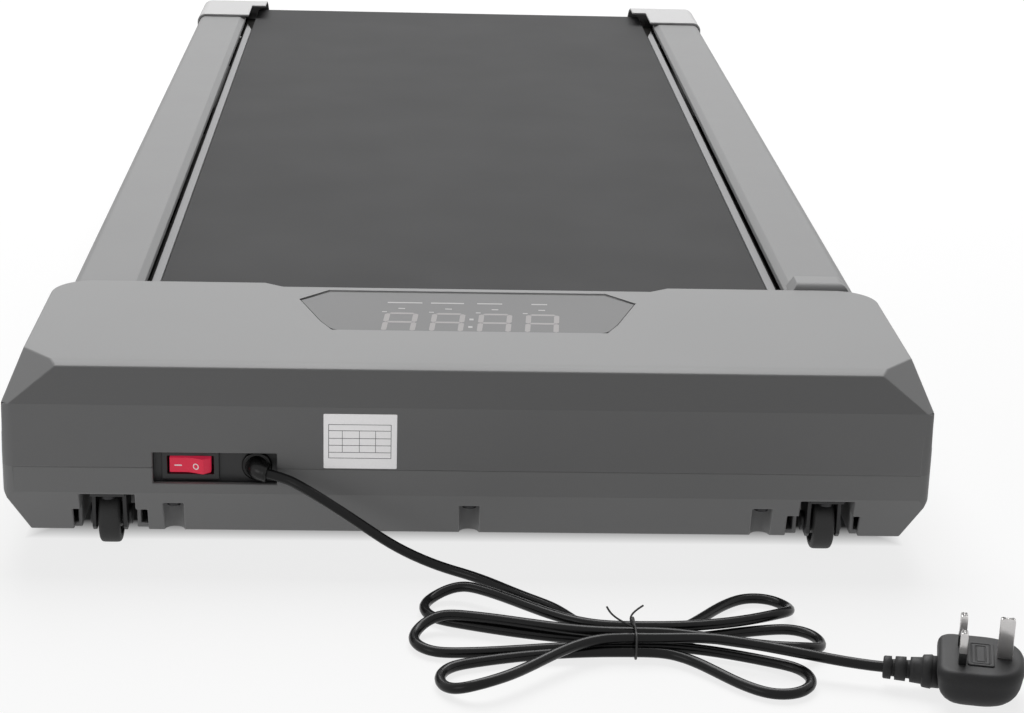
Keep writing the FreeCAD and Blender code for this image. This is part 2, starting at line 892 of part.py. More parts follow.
# Screws of the housing: in the front slots and the pan's bosses, and up into the hood's posts
housing_screws = [screw_up(place, slot_top, slot_roof_top + screw_reach) for place in slot_places]
housing_screws += [screw_up(place, tray_boss_seat, tray_low + screw_reach) for place in tray_boss_places]
post_tip = beam_low + post_screw_reach
housing_screws += [screw_up(place, beam_low - tray_wall, post_tip) for place in post_places]
save("housing_screws", *housing_screws, *display_screws)

# Black plate that is held behind the recess and carries the switch and the gland
plate_x = (recess_left - plate_rim, recess_right + plate_rim)
plate_z = (recess_low - plate_rim, recess_high + plate_rim)
plate_back_y = plate_face_y + plate_thick
plate = box(plate_x, (front_y + hood_wall, plate_back_y), plate_z)
plate = plate.cut(box(recess_x, (front_y, plate_face_y), recess_z))
switch_half_x = rocker_reach + rocker_gap + switch_wall
switch_half_z = rocker_height / 2 + rocker_gap + switch_wall
switch_x = (rocker_x - switch_half_x, rocker_x + switch_half_x)
switch_z = (rocker_z - switch_half_z, rocker_z + switch_half_z)
window_x = (switch_x[0] - running_gap, switch_x[1] + running_gap)
window_z = (switch_z[0] - running_gap, switch_z[1] + running_gap)
plate = plate.cut(box(window_x, (front_y, plate_back_y + cut_overrun), window_z))
gland_place = (gland_x, gland_z)
plate_hole = (front_y, plate_back_y + cut_overrun)
plate = plate.cut(rod("y", gland_neck_radius + running_gap, plate_hole, gland_place))
save("switch_plate", plate)

# Switch housing with its bezel, a well for the rocker and pin holes above and below
switch_back_y = plate_face_y + switch_depth
bezel_x = (switch_x[0] - bezel_rim, switch_x[1] + bezel_rim)
bezel_z = (switch_z[0] - bezel_rim, switch_z[1] + bezel_rim)
housing = box(switch_x, (plate_face_y, switch_back_y), switch_z)
housing = housing.fuse(box(bezel_x, (plate_face_y - bezel_thick, plate_face_y), bezel_z))
well_x = (rocker_x - rocker_reach - rocker_gap, rocker_x + rocker_reach + rocker_gap)
well_z = (rocker_z - rocker_height / 2 - rocker_gap, rocker_z + rocker_height / 2 + rocker_gap)
housing = housing.cut(box(well_x, (front_y, plate_face_y + switch_well_depth), well_z))
rocker_pivot_y = front_y + rocker_pivot_depth
rocker_place = (rocker_x, rocker_pivot_y)
pin_half = rocker_height / 2 + rocker_pin_length
pin_hole_half = pin_half + rocker_gap
pin_hole = (rocker_z - pin_hole_half, rocker_z + pin_hole_half)
housing = housing.cut(rod("z", rocker_pin_radius + running_gap, pin_hole, rocker_place))
save("switch_housing", housing)
terminals = []
for side in (-1, 0, 1):
    x = rocker_x + side * terminal_pitch
    span_x = (x - terminal_thick / 2, x + terminal_thick / 2)
    span_z = (rocker_z - terminal_width / 2, rocker_z + terminal_width / 2)
    terminals.append(box(span_x, (switch_back_y, switch_back_y + terminal_length), span_z))
save("switch_terminals", *terminals)

# Rocker, shown with its left half pressed in. It tips about an upright pin.
rocker_tip = rocker_apex + rocker_half * math.tan(math.radians(rocker_angle))
rocker_outline = (
    (-rocker_half, rocker_tip),
    (0, rocker_apex),
    (rocker_half, rocker_tip),
    (rocker_flank_half, rocker_flank_rise),
    (rocker_keel_half, -rocker_keel_drop),
    (-rocker_keel_half, -rocker_keel_drop),
    (-rocker_flank_half, rocker_flank_rise),
)
rocker_points = [(rocker_x + u, rocker_pivot_y - v) for u, v in rocker_outline]
rocker = prism("xy", rocker_points, (rocker_z - rocker_height / 2, rocker_z + rocker_height / 2))
rocker = rocker.fuse(rod("z", rocker_pin_radius, (rocker_z - pin_half, rocker_z + pin_half), rocker_place))
rocker.rotate(V(rocker_x, rocker_pivot_y, rocker_z), V(0, 0, 1), -rocker_angle)
save("rocker", rocker)


def side_piece(name, shape):
    """Saves a right-hand piece and its mirror image on the left."""
    save(name + "_right", shape)
    save(name + "_left", mirrored(shape))


# Side beams: steel tubes with holes for the front axle and slots for the rear one
beam_x = (beam_inner_x, beam_outer_x)
beam_y = (front_y + beam_front_set, rear_y - beam_rear_set)
beam_z = (beam_low, beam_high)
beam = box(beam_x, beam_y, beam_z)
bore_x = (beam_inner_x + beam_wall, beam_outer_x - beam_wall)
bore_y = (beam_y[0] - cut_overrun, beam_y[1] + cut_overrun)
bore_z = (beam_low + beam_wall, beam_high - beam_wall)
beam = beam.cut(box(bore_x, bore_y, bore_z))
inner_wall = (beam_inner_x - cut_overrun, beam_inner_x + beam_wall + running_gap)
axle_hole = axle_radius + running_gap
beam = beam.cut(rod("x", axle_hole, inner_wall, (front_axle_y, roller_z)))
slot_y = (rear_axle_y - rear_travel - axle_radius - loose_gap, rear_axle_y + axle_radius + loose_gap)
slot_z = (roller_z - axle_hole, roller_z + axle_hole)
beam = beam.cut(box(inner_wall, slot_y, slot_z))
cap_screw_y = rear_y - cap_boss_set
cap_screw_places = (cap_screw_low, cap_screw_low + cap_screw_pitch)
for z in cap_screw_places:
    outer_wall = (beam_outer_x - beam_wall - running_gap, beam_outer_x + cut_overrun)
    beam = beam.cut(rod("x", cap_screw_radius + screw_gap, outer_wall, (cap_screw_y, z)))
side_piece("side_beam", beam)

# Steel tray that joins the beams in front, carries the drive and holds the wheel forks
tray_y = (front_y + tray_front_set, front_y + tray_front_set + tray_length)
tray_profile = (
    (-tray_half, tray_low),
    (tray_half, tray_low),
    (tray_half, beam_low - tray_wall),
    (beam_outer_x, beam_low - tray_wall),
    (beam_outer_x, beam_low),
    (tray_half - tray_wall, beam_low),
    (tray_half - tray_wall, tray_top),
    (-tray_half + tray_wall, tray_top),
    (-tray_half + tray_wall, beam_low),
    (-beam_outer_x, beam_low),
    (-beam_outer_x, beam_low - tray_wall),
    (-tray_half, beam_low - tray_wall),
)
tray = prism("xz", tray_profile, tray_y)
tray_base_y = tray_y[0] + tray_base_set
front_room = box((-tray_half, tray_half), (front_y, tray_base_y), (tray_low, beam_low - tray_wall))
tray = tray.cut(front_room)
flange_hole = (beam_low - tray_wall - cut_overrun, beam_low + cut_overrun)
for side in (-1, 1):
    for along in (-fork_bolt_half_pitch, fork_bolt_half_pitch):
        place = (side * wheel_x, wheel_y + along)
        tray = tray.cut(rod("z", fork_bolt_radius + screw_gap, flange_hole, place))
tray_hole_radius = screw_radius + screw_gap
tray_base = (tray_low - cut_overrun, tray_top + cut_overrun)
for place in tray_boss_places:
    tray = tray.cut(rod("z", tray_hole_radius, tray_base, place))
for place in post_places:
    tray = tray.cut(rod("z", hole_radius, flange_hole, place))
tab_room = slot_radius + slot_wall + loose_gap
for x, y in slot_places:
    tray = tray.cut(rod("z", tab_room, tray_base, (x, y)))
    tab_x = (x - tab_width / 2, x + tab_width / 2)
    tab_y = (y + tab_room + loose_gap, y + tab_room + loose_gap + tray_wall)
    tray = tray.fuse(box(tab_x, tab_y, (tray_low, slot_roof_top + tray_wall)))
    tray = tray.fuse(box(tab_x, (y - tab_front, tab_y[1]), (slot_roof_top, slot_roof_top + tray_wall)))
    tray = tray.cut(rod("z", tray_hole_radius, (slot_top, slot_roof_top + tray_wall + cut_overrun), (x, y)))
# The tray is a base plate with two side angles welded along its edges
angle_x = (tray_half - tray_wall, beam_outer_x + cut_overrun)
angle_y = (front_y, tray_y[1] + cut_overrun)
right_angle = box(angle_x, angle_y, (tray_low - cut_overrun, beam_low + cut_overrun))
left_angle = mirrored(right_angle)
base_plate = tray.cut(right_angle).cut(left_angle)
save("front_tray", base_plate, tray.common(right_angle), tray.common(left_angle))

# Cross bars between the beams, inside the loop of the belt
bars = []
cushions = []
deck_screws = []
bar_low = bar_top - bar_size
bar_places = [bar_first_y + number * bar_pitch for number in range(bar_count)]
deck_front_y = front_axle_y + roller_radius + deck_front_gap
deck_x = (-deck_half_width, deck_half_width)
deck = box(deck_x, (deck_front_y, deck_rear_y), (deck_top - deck_thick, deck_top))
deck_head_top = deck_top - deck_screw_sink
deck_head_low = deck_head_top - deck_screw_head
for y in bar_places:
    bar_y = (y - bar_size / 2, y + bar_size / 2)
    bar = box((-beam_inner_x, beam_inner_x), bar_y, (bar_low, bar_top))
    bar_bore_y = (bar_y[0] + bar_wall, bar_y[1] - bar_wall)
    bar_bore_x = (-beam_inner_x - cut_overrun, beam_inner_x + cut_overrun)
    bar = bar.cut(box(bar_bore_x, bar_bore_y, (bar_low + bar_wall, bar_top - bar_wall)))
    for side in (-1, 1):
        place = (side * cushion_x, y)
        upper_wall = (bar_top - bar_wall - running_gap, bar_top + cut_overrun)
        bar = bar.cut(rod("z", deck_screw_radius + screw_gap, upper_wall, place))
        deck_hole = deck_screw_radius + screw_clearance
        cushions.append(ring("z", cushion_radius, deck_hole, (bar_top, bar_top + cushion_thick), place))
        deck = deck.cut(rod("z", deck_hole, (bar_top, deck_top + cut_overrun), place))
        head_hole = (deck_head_low, deck_top + cut_overrun)
        deck = deck.cut(rod("z", deck_screw_head_radius + screw_clearance, head_hole, place))
        head = rod("z", deck_screw_head_radius, (deck_head_low, deck_head_top), place)
        shank = rod("z", deck_screw_radius, (deck_head_low - deck_screw_length, deck_head_low), place)
        deck_screws.append(head.fuse(shank))
    bars.append(bar)
save("deck_cross_bars", *bars)
save("deck_cushions", *cushions)
save("running_deck", deck)

# Grey strips along the deck's edges, cut slantwise at the tail
strip_points = (
    (strip_inner_x, strip_front_y),
    (strip_inner_x, strip_inner_end_y),
    (strip_outer_x, strip_outer_end_y),
    (strip_outer_x, strip_front_y),
)
strip = prism("xy", strip_points, (deck_top, deck_top + strip_thick))
save("deck_edge_strips", strip, mirrored(strip))

# Endless running belt round both rollers
front_centre = (front_axle_y, roller_z)
rear_centre = (rear_axle_y, roller_z)
belt_span = (-belt_half_width, belt_half_width)
rollers = (roller_radius, front_centre, roller_radius, rear_centre)
save("running_belt", loop_band(*rollers, belt_gap, belt_thick, belt_span))

# Rollers: a steel tube on two sealed bearings each
axle_half = beam_inner_x + beam_wall - axle_end_gap
bearing_outer = roller_half_length - bearing_inset


def roller(centre):
    """A roller's tube and its pair of bearings."""
    tube_bore = roller_radius - roller_wall
    tube = ring("x", roller_radius, tube_bore, (-roller_half_length, roller_half_length), centre)
    spans = ((-bearing_outer, bearing_width - bearing_outer), (bearing_outer - bearing_width, bearing_outer))
    seat = tube_bore - bearing_fit
    bearings = [ring("x", seat, axle_radius + running_gap, span, centre) for span in spans]
    return tube, bearings


front_tube, front_bearings = roller(front_centre)
save("front_axle", rod("x", axle_radius, (-axle_half, axle_half), front_centre))
save("front_roller_tube", front_tube)
save("front_roller_bearings", *front_bearings)
rear_tube, rear_bearings = roller(rear_centre)
rear_axle = rod("x", axle_radius, (-axle_half, axle_half), rear_centre)
bolt_hole = (rear_axle_y - axle_radius - cut_overrun, rear_axle_y + axle_radius + cut_overrun)
for side in (-1, 1):
    rear_axle = rear_axle.cut(rod("y", bolt_radius + bolt_thread_gap, bolt_hole, (side * bolt_x, roller_z)))
save("rear_axle", rear_axle)
save("rear_roller_tube", rear_tube)
save("rear_roller_bearings", *rear_bearings)

# Tension brackets on the beams and the bolts that draw the rear axle back
flange_y = rear_axle_y + bracket_flange_set
bracket_x = (beam_inner_x - bracket_plate, beam_inner_x)
bracket_z = (roller_z - bracket_half_height, roller_z + bracket_half_height)
bracket = box(bracket_x, (rear_axle_y - bracket_front_set, flange_y + bracket_plate), bracket_z)
flange_x = (bracket_flange_inner_x, beam_inner_x)
bracket = bracket.fuse(box(flange_x, (flange_y, flange_y + bracket_plate), bracket_z))
bracket = bracket.cut(box((bracket_x[0] - cut_overrun, inner_wall[1]), slot_y, slot_z))
flange_hole = (flange_y - cut_overrun, flange_y + bracket_plate + cut_overrun)
bracket = bracket.cut(rod("y", bolt_radius + bolt_thread_gap, flange_hole, (bolt_x, roller_z)))
save("tension_brackets", bracket, mirrored(bracket))
head_y = flange_y + bracket_plate + loose_gap
bolt = rod("y", bolt_radius, (head_y - bolt_length, head_y), (bolt_x, roller_z))
bolt = bolt.fuse(rod("y", bolt_head_radius, (head_y, head_y + bolt_head), (bolt_x, roller_z)))
socket_y = (head_y + bolt_head - bolt_socket_depth, head_y + bolt_head + cut_overrun)
socket_turns = [2 * math.pi * corner / bolt_socket_sides for corner in range(bolt_socket_sides)]
socket = [
    (bolt_x + bolt_socket_radius * math.cos(turn), roller_z + bolt_socket_radius * math.sin(turn))
    for turn in socket_turns
]
bolt = bolt.cut(prism("xz", socket, socket_y))
side_piece("tension_bolt", bolt)


def ribbed_pulley(radius, bore, centre):
    """A pulley with V ribs round its rim."""
    points = [(pulley_left_x, bore), (pulley_left_x, radius), (pulley_left_x + pulley_flange, radius)]
    for rib in range(pulley_rib_count):
        x = pulley_left_x + pulley_flange + rib * pulley_rib_pitch
        points.append((x + pulley_rib_pitch / 2, radius - pulley_rib_depth))
        points.append((x + pulley_rib_pitch, radius))
    points += [(pulley_right_x, radius), (pulley_right_x, bore)]
    return turned_x(points, centre)


# Drive: the roller's pulley with a spigot in the tube, the motor's pulley and the belt between them
motor_centre = (motor_y, motor_z)
roller_pulley = ribbed_pulley(roller_pulley_radius, axle_radius + running_gap, front_centre)
spigot_radius = roller_radius - roller_wall - bearing_fit
spigot = ring("x", spigot_radius, axle_radius + running_gap, (bearing_outer, pulley_left_x), front_centre)
save("roller_pulley", roller_pulley.fuse(spigot))
save("motor_pulley", ribbed_pulley(motor_pulley_radius, shaft_radius + bearing_fit, motor_centre))
drive_span = (pulley_left_x + drive_belt_margin, pulley_right_x - drive_belt_margin)
pulleys = (roller_pulley_radius, front_centre, motor_pulley_radius, motor_centre)
save("drive_belt", loop_band(*pulleys, belt_gap, drive_belt_thick, drive_span))

# Motor: can, end bells, armature on its shaft, and a flywheel
can_bore = motor_radius - motor_can_wall
can = ring("x", motor_radius, can_bore, (motor_left_x, motor_right_x), motor_centre)
bell_spans = ((motor_left_x - bell_thick, motor_left_x), (motor_right_x, motor_right_x + bell_thick))
bells = [ring("x", motor_radius, shaft_radius + running_gap, span, motor_centre) for span in bell_spans]
save("motor_can", can, *bells)
armature_span = (motor_left_x + armature_margin, motor_right_x - armature_margin)
save("motor_armature", ring("x", armature_radius, shaft_radius + bearing_fit, armature_span, motor_centre))
save("motor_shaft", rod("x", shaft_radius, (shaft_left_x, shaft_right_x), motor_centre))
flywheel_right_x = flywheel_left_x + flywheel_thick
dish_radius = flywheel_radius - flywheel_rim
flywheel_points = (
    (flywheel_left_x, shaft_radius + bearing_fit),
    (flywheel_left_x, flywheel_rim),
    (flywheel_left_x + flywheel_dish, flywheel_rim),
    (flywheel_left_x + flywheel_dish, dish_radius),
    (flywheel_left_x, dish_radius),
    (flywheel_left_x, flywheel_radius),
    (flywheel_right_x, flywheel_radius),
    (flywheel_right_x, shaft_radius + bearing_fit),
)
save("motor_flywheel", turned_x(flywheel_points, motor_centre))

# Saddle under the motor and the two straps over it
saddle_y = (motor_y - saddle_half_depth, motor_y + saddle_half_depth)
saddle_top = tray_top + saddle_height
saddle_x = (motor_left_x + saddle_inset, motor_right_x - saddle_inset)
saddle = box(saddle_x, saddle_y, (tray_top, tray_top + saddle_plate))
straps = []
for rib_x in (motor_left_x + saddle_rib_inset, motor_right_x - saddle_rib_inset - saddle_rib):
    span = (rib_x, rib_x + saddle_rib)
    saddle = saddle.fuse(box(span, saddle_y, (tray_top, saddle_top)))
    strap_bore = motor_radius + running_gap
    strap = ring("x", strap_bore + strap_thick, strap_bore, span, motor_centre)
    strap = strap.common(box(span, (front_y, hood_back_y), (saddle_top, hood_height)))
    for feet in ((saddle_y[0], motor_y - strap_foot_inset), (motor_y + strap_foot_inset, saddle_y[1])):
        strap = strap.fuse(box(span, feet, (saddle_top, saddle_top + strap_thick)))
    straps.append(strap)
motor_room_x = (motor_left_x - cut_overrun, motor_right_x + cut_overrun)
motor_room = rod("x", motor_radius + running_gap, motor_room_x, motor_centre)
saddle = saddle.cut(motor_room)
straps = [strap.cut(motor_room) for strap in straps]
save("motor_mount", saddle, *straps)

# Drive electronics: board on standoffs, finned heatsink, and the tall components
board_right = board_left + board_length
board_y = (tray_y[0] + board_front_set, tray_y[0] + board_front_set + board_depth)
board_low = tray_top + standoff_height
board_top = board_low + board_thick
standoffs = [
    rod("z", standoff_radius, (tray_top, board_low), (x, y))
    for x in (board_left + standoff_inset, board_right - standoff_inset)
    for y in (board_y[0] + standoff_inset, board_y[1] - standoff_inset)
]
save("board_standoffs", *standoffs)
save("controller_board", box((board_left, board_right), board_y, (board_low, board_top)))
sink_x = (heatsink_left, heatsink_left + heatsink_width)
sink_y = (board_y[0] + standoff_inset, board_y[0] + standoff_inset + heatsink_depth)
heatsink = box(sink_x, sink_y, (board_top, board_top + heatsink_base))
fin_pitch = (heatsink_width - heatsink_fin) / (heatsink_fins - 1)
for fin in range(heatsink_fins):
    fin_x = heatsink_left + fin * fin_pitch
    fin_z = (board_top, board_top + heatsink_height)
    heatsink = heatsink.fuse(box((fin_x, fin_x + heatsink_fin), sink_y, fin_z))
save("controller_heatsink", heatsink.removeSplitter())


def component(left, set_back, width, depth, height):
    """A box-shaped component on the board."""
    y = board_y[0] + set_back
    return box((left, left + width), (y, y + depth), (board_top, board_top + height))


capacitors = []
for number in range(2):
    place = (capacitor_x, board_y[0] + capacitor_set + number * capacitor_pitch)
    capacitors.append(rod("z", capacitor_radius, (board_top, board_top + capacitor_height), place))
choke = component(choke_left, choke_set, choke_width, choke_depth, choke_height)
relay = component(relay_left, relay_set, relay_width, relay_depth, relay_height)
save("controller_components", choke, relay, *capacitors)

# Side rails: covers with a bevelled inner edge, seated on the beams by two ribs
rail_points = (
    (rail_inner_x, rail_top - rail_lip),
    (rail_inner_x, rail_top - rail_bevel_drop),
    (rail_inner_x + rail_bevel, rail_top),
    (rail_outer_x, rail_top),
    (rail_outer_x, rail_low),
    (rail_outer_x - rail_wall, rail_low),
    (rail_outer_x - rail_wall, rail_top - rail_wall),
    (rail_inner_x + rail_bevel, rail_top - rail_wall),
    (rail_inner_x + rail_wall, rail_top - rail_bevel_drop - rail_wall),
    (rail_inner_x + rail_wall, rail_top - rail_lip),
)
rail = prism("xz", rail_points, (rail_front_y, rail_rear_y))
for edge in rail.Edges:
    start = edge.Vertexes[0].Point
    end = edge.Vertexes[-1].Point
    at_corner = abs(start.x - rail_outer_x) + abs(start.z - rail_top)
    if abs(start.y - end.y) > cut_overrun and at_corner < running_gap:
        rail = rail.makeFillet(rail_round, [edge])
        break
rail_under = rail_top - rail_wall
for rib_x in (beam_inner_x + rail_rib_inset, beam_outer_x - rail_rib_inset - rail_rib):
    rail = rail.fuse(box((rib_x, rib_x + rail_rib), (rail_front_y, rail_rear_y), (beam_high, rail_under)))
side_piece("side_rail", rail)

# End caps: L-shaped from above, rounded down at the tail, with screw bosses against the beams
cap_top = rail_top + loose_gap + cap_wall
cap_outer_x = rail_outer_x + loose_gap + cap_wall
cap_plan = (
    (cap_inner_x, cap_front_y),
    (cap_outer_x, cap_front_y),
    (cap_outer_x, rear_y),
    (cap_lip_x, rear_y),
    (cap_lip_x, cap_lip_y),
    (cap_inner_x, cap_lip_y),
)


def cap_side(inset, low, front, span):
    """The cap's side view, carried across it: flat on top, an elliptic fall at the tail, a cut toe."""
    top = cap_top - inset
    back = rear_y - inset
    knee_z = cap_top - cap_round_drop
    reach = back - cap_round_start
    fall = top - knee_z
    arc = Part.Ellipse(V(0, 0, 0), max(reach, fall), min(reach, fall))
    curve = Part.ArcOfEllipse(arc, 0, math.pi / 2).toShape()
    curve.rotate(V(0, 0, 0), V(1, 0, 0), 90)
    curve.rotate(V(0, 0, 0), V(0, 0, 1), 90)
    curve.translate(V(span[0], cap_round_start, knee_z))
    corners = [
        V(span[0], cap_round_start, top),
        V(span[0], front, top),
        V(span[0], front, low),
        V(span[0], back - cap_toe, low),
        V(span[0], back, low + cap_toe),
        V(span[0], back, knee_z),
    ]
    edges = [line_edge(a, b) for a, b in zip(corners, corners[1:])]
    return Part.Face(Part.Wire(edges + [curve])).extrude(V(span[1] - span[0], 0, 0))


def shoulder_edge(shape):
    """The long upper edge on the cap's outer side, which runs on round the tail."""
    for edge in shape.Edges:
        start = edge.Vertexes[0].Point
        end = edge.Vertexes[-1].Point
        outer = min(start.x, end.x) > rail_outer_x
        high = min(start.z, end.z) > rail_top
        if outer and high and abs(start.y - end.y) > cap_wall:
            return [edge]


cap = prism("xy", cap_plan, (cap_low, cap_top))
cap = cap.common(cap_side(0.0, cap_low, cap_front_y, (cap_lip_x, cap_outer_x)))
cap = cap.makeFillet(rail_round + loose_gap + cap_wall, shoulder_edge(cap))
cap_hollow_x = (cap_lip_x - cut_overrun, cap_outer_x - cap_wall)
cap_hollow = cap_side(cap_wall, cap_low - cut_overrun, cap_front_y - cut_overrun, cap_hollow_x)
cap_hollow = cap_hollow.makeFillet(rail_round + loose_gap, shoulder_edge(cap_hollow))
cap = cap.cut(cap_hollow)
cap_screws = []
for z in cap_screw_places:
    boss = rod("x", cap_boss_radius, (beam_outer_x, cap_outer_x - cap_wall / 2), (cap_screw_y, z))
    cap = cap.fuse(boss)
    hole = (beam_outer_x - cut_overrun, cap_outer_x + cut_overrun)
    cap = cap.cut(rod("x", cap_screw_radius + screw_gap, hole, (cap_screw_y, z)))
    head = rod("x", cap_screw_head_radius, (cap_outer_x, cap_outer_x + cap_screw_head), (cap_screw_y, z))
    shank = rod("x", cap_screw_radius, (cap_outer_x - cap_screw_length, cap_outer_x), (cap_screw_y, z))
    cap_screws.append(head.fuse(shank))
key_way = (flange_y + bracket_plate, rear_y + cut_overrun)
cap = cap.cut(rod("y", cap_hole_radius, key_way, (bolt_x, roller_z)))
side_piece("rear_end_cap", cap)

# Rubber feet under the tail of each beam
foot_place = (foot_x, rear_y - foot_set)
foot = Part.makeCone(foot_radius, foot_sole_radius, foot_chamfer, V(foot_place[0], foot_place[1], 0))
foot = foot.fuse(rod("z", foot_sole_radius, (foot_chamfer, foot_sole), foot_place))
foot = foot.fuse(rod("z", foot_stem_radius, (foot_sole, beam_low), foot_place))
save("rear_feet", foot, mirrored(foot))

# Moulded block on the right rail, just behind the hood: round above, its inner end slanted
block_y = (hood_back_y + loose_gap, hood_back_y + loose_gap + block_depth)
block = box((block_inner_x, block_outer_x), block_y, (rail_top, rail_top + block_height))
top_edges = []
for edge in block.Edges:
    start = edge.Vertexes[0].Point
    end = edge.Vertexes[-1].Point
    high = min(start.z, end.z) > rail_top + running_gap
    if high and abs(start.x - end.x) > cut_overrun and start.y < block_y[0] + running_gap:
        top_edges.append(edge)
    if high and abs(start.y - end.y) > cut_overrun and start.x > block_outer_x - running_gap:
        top_edges.append(edge)
block = block.makeFillet(block_height - loose_gap, top_edges)
slant = (
    (block_inner_x, rail_top),
    (block_inner_x + block_slant, rail_top + block_height),
    (block_inner_x - cut_overrun, rail_top + block_height),
    (block_inner_x - cut_overrun, rail_top),
)
block = block.cut(prism("xz", slant, (block_y[0] - cut_overrun, block_y[1] + cut_overrun)))
save("rail_block_right", block)

# Transport wheels: hub and tyre on an axle between the ears of a fork
half_width = wheel_width / 2
ear_inner = half_width + ear_gap
ear_outer = ear_inner + ear_thick
ear_low = wheel_radius - ear_round
wheel_centre = (wheel_y, wheel_radius)
tyre_points = (
    (wheel_x - half_width, hub_radius + tyre_fit),
    (wheel_x - half_width, wheel_radius - wheel_crown),
    (wheel_x - half_width + wheel_crown, wheel_radius),
    (wheel_x + half_width - wheel_crown, wheel_radius),
    (wheel_x + half_width, wheel_radius - wheel_crown),
    (wheel_x + half_width, hub_radius + tyre_fit),
)
side_piece("wheel_tyre", turned_x(tyre_points, wheel_centre))
hub_bore = wheel_axle_radius + running_gap
hub_points = (
    (wheel_x - half_width, hub_bore),
    (wheel_x - half_width, hub_boss_radius),
    (wheel_x - hub_web / 2, hub_boss_radius),
    (wheel_x - hub_web / 2, hub_radius),
    (wheel_x + hub_web / 2, hub_radius),
    (wheel_x + hub_web / 2, hub_boss_radius),
    (wheel_x + half_width, hub_boss_radius),
    (wheel_x + half_width, hub_bore),
)
side_piece("wheel_hub", turned_x(hub_points, wheel_centre))
axle_span = (wheel_x - ear_outer, wheel_x + ear_outer)
wheel_axle = rod("x", wheel_axle_radius, axle_span, wheel_centre)
for head in ((axle_span[0] - wheel_axle_head, axle_span[0]), (axle_span[1], axle_span[1] + wheel_axle_head)):
    wheel_axle = wheel_axle.fuse(rod("x", wheel_axle_head_radius, head, wheel_centre))
fork_y = (wheel_y - fork_half_length, wheel_y + fork_half_length)
fork = box((wheel_x - ear_outer, wheel_x + ear_outer), fork_y, (well_top - fork_plate, well_top))
for ear_x in ((wheel_x - ear_outer, wheel_x - ear_inner), (wheel_x + ear_inner, wheel_x + ear_outer)):
    taper = (
        (wheel_y - ear_front, well_top - fork_plate),
        (fork_y[1], well_top - fork_plate),
        (wheel_y + ear_round, wheel_radius),
        (wheel_y, wheel_radius),
        (wheel_y, ear_low),
        (wheel_y - ear_front + ear_chamfer, ear_low),
        (wheel_y - ear_front, ear_low + ear_chamfer),
    )
    fork = fork.fuse(prism("yz", taper, ear_x))
    fork = fork.fuse(rod("x", ear_round, ear_x, wheel_centre))
fork_hole = (wheel_x - ear_outer - cut_overrun, wheel_x + ear_outer + cut_overrun)
fork = fork.cut(rod("x", wheel_axle_radius + screw_gap, fork_hole, wheel_centre))
fork_bolts = []
for along in (-fork_bolt_half_pitch, fork_bolt_half_pitch):
    place = (wheel_x, wheel_y + along)
    plate_low = well_top - fork_plate
    plate_hole = (plate_low - cut_overrun, well_top + cut_overrun)
    fork = fork.cut(rod("z", fork_bolt_radius + screw_clearance, plate_hole, place))
    fork_bolt = rod("z", fork_bolt_head_radius, (plate_low - fork_bolt_head, plate_low), place)
    fork_bolts.append(fork_bolt.fuse(rod("z", fork_bolt_radius, (plate_low, beam_low), place)))
save("wheel_forks", fork, mirrored(fork), wheel_axle, mirrored(wheel_axle))
frame_screws = cap_screws + fork_bolts
frame_screws += [mirrored(screw) for screw in frame_screws]
save("frame_screws", *deck_screws, *frame_screws)


def tube(edges, radius):
    """A round tube along joined edges, with its volume set against section times length."""
    path = Part.Wire(edges)
    first = edges[0]
    heading = first.tangentAt(first.FirstParameter)
    start = first.valueAt(first.FirstParameter)
    section = Part.Wire([Part.Circle(start, heading, radius).toShape()])
    solid = path.makePipeShell([section], True, False)
    share = solid.Volume / (math.pi * radius * radius * path.Length)
    print("tube of %.0f mm, volume share %.4f, valid %s" % (path.Length, share, solid.isValid()))
    return solid.Solids[0] if solid.Solids else Part.Solid(solid)


def rounded_route(points):
    """Straight runs with an arc at each point, as large as the two runs allow."""
    edges = []
    radii = []
    start = points[0]
    for before, corner, after in zip(points, points[1:], points[2:]):
        run_in = corner - before
        run_out = after - corner
        turn = run_in.getAngle(run_out)
        setback = route_round_share * min(run_in.Length, run_out.Length)
        radii.append(setback / math.tan(turn / 2))
        run_in.normalize()
        run_out.normalize()
        enter = corner - run_in * setback
        leave = corner + run_out * setback
        chord = (enter + leave) * 0.5
        sagitta = setback * math.cos(turn / 2) * math.tan(turn / 4)
        away = corner - chord
        away.normalize()
        edges.append(line_edge(start, enter))
        edges.append(arc_edge(enter, chord + away * sagitta, leave))
        start = leave
    edges.append(line_edge(start, points[-1]))
    print("route radii", ["%.0f" % radius for radius in radii])
    return edges


def biarc(start, heading, end, heading_end):
    """Two arcs that join two points with given headings, each as start, corner and end."""
    step = end - start
    both = heading + heading_end
    a = 2 * (heading.dot(heading_end) - 1)
    b = -2 * step.dot(both)
    c = step.dot(step)
    if abs(a) < tiny_share:
        reach = -c / b
    else:
        root = math.sqrt(b * b - 4 * a * c)
        reach = min(value for value in ((-b + root) / (2 * a), (-b - root) / (2 * a)) if value > 0)
    corner = start + heading * reach
    corner_end = end - heading_end * reach
    middle = (corner + corner_end) * 0.5
    return ((start, corner, middle), (middle, corner_end, end))


def arc_from_corner(start, corner, end):
    """The edge of the arc that touches both sides of a corner at equal distances."""
    chord = (start + end) * 0.5
    half = (end - start).Length / 2
    away = corner - chord
    if away.Length < tiny_share * half:
        return line_edge(start, end)
    turn = math.acos(half / (corner - start).Length)
    away.normalize()
    return arc_edge(start, chord + away * (half * math.tan(turn / 2)), end)


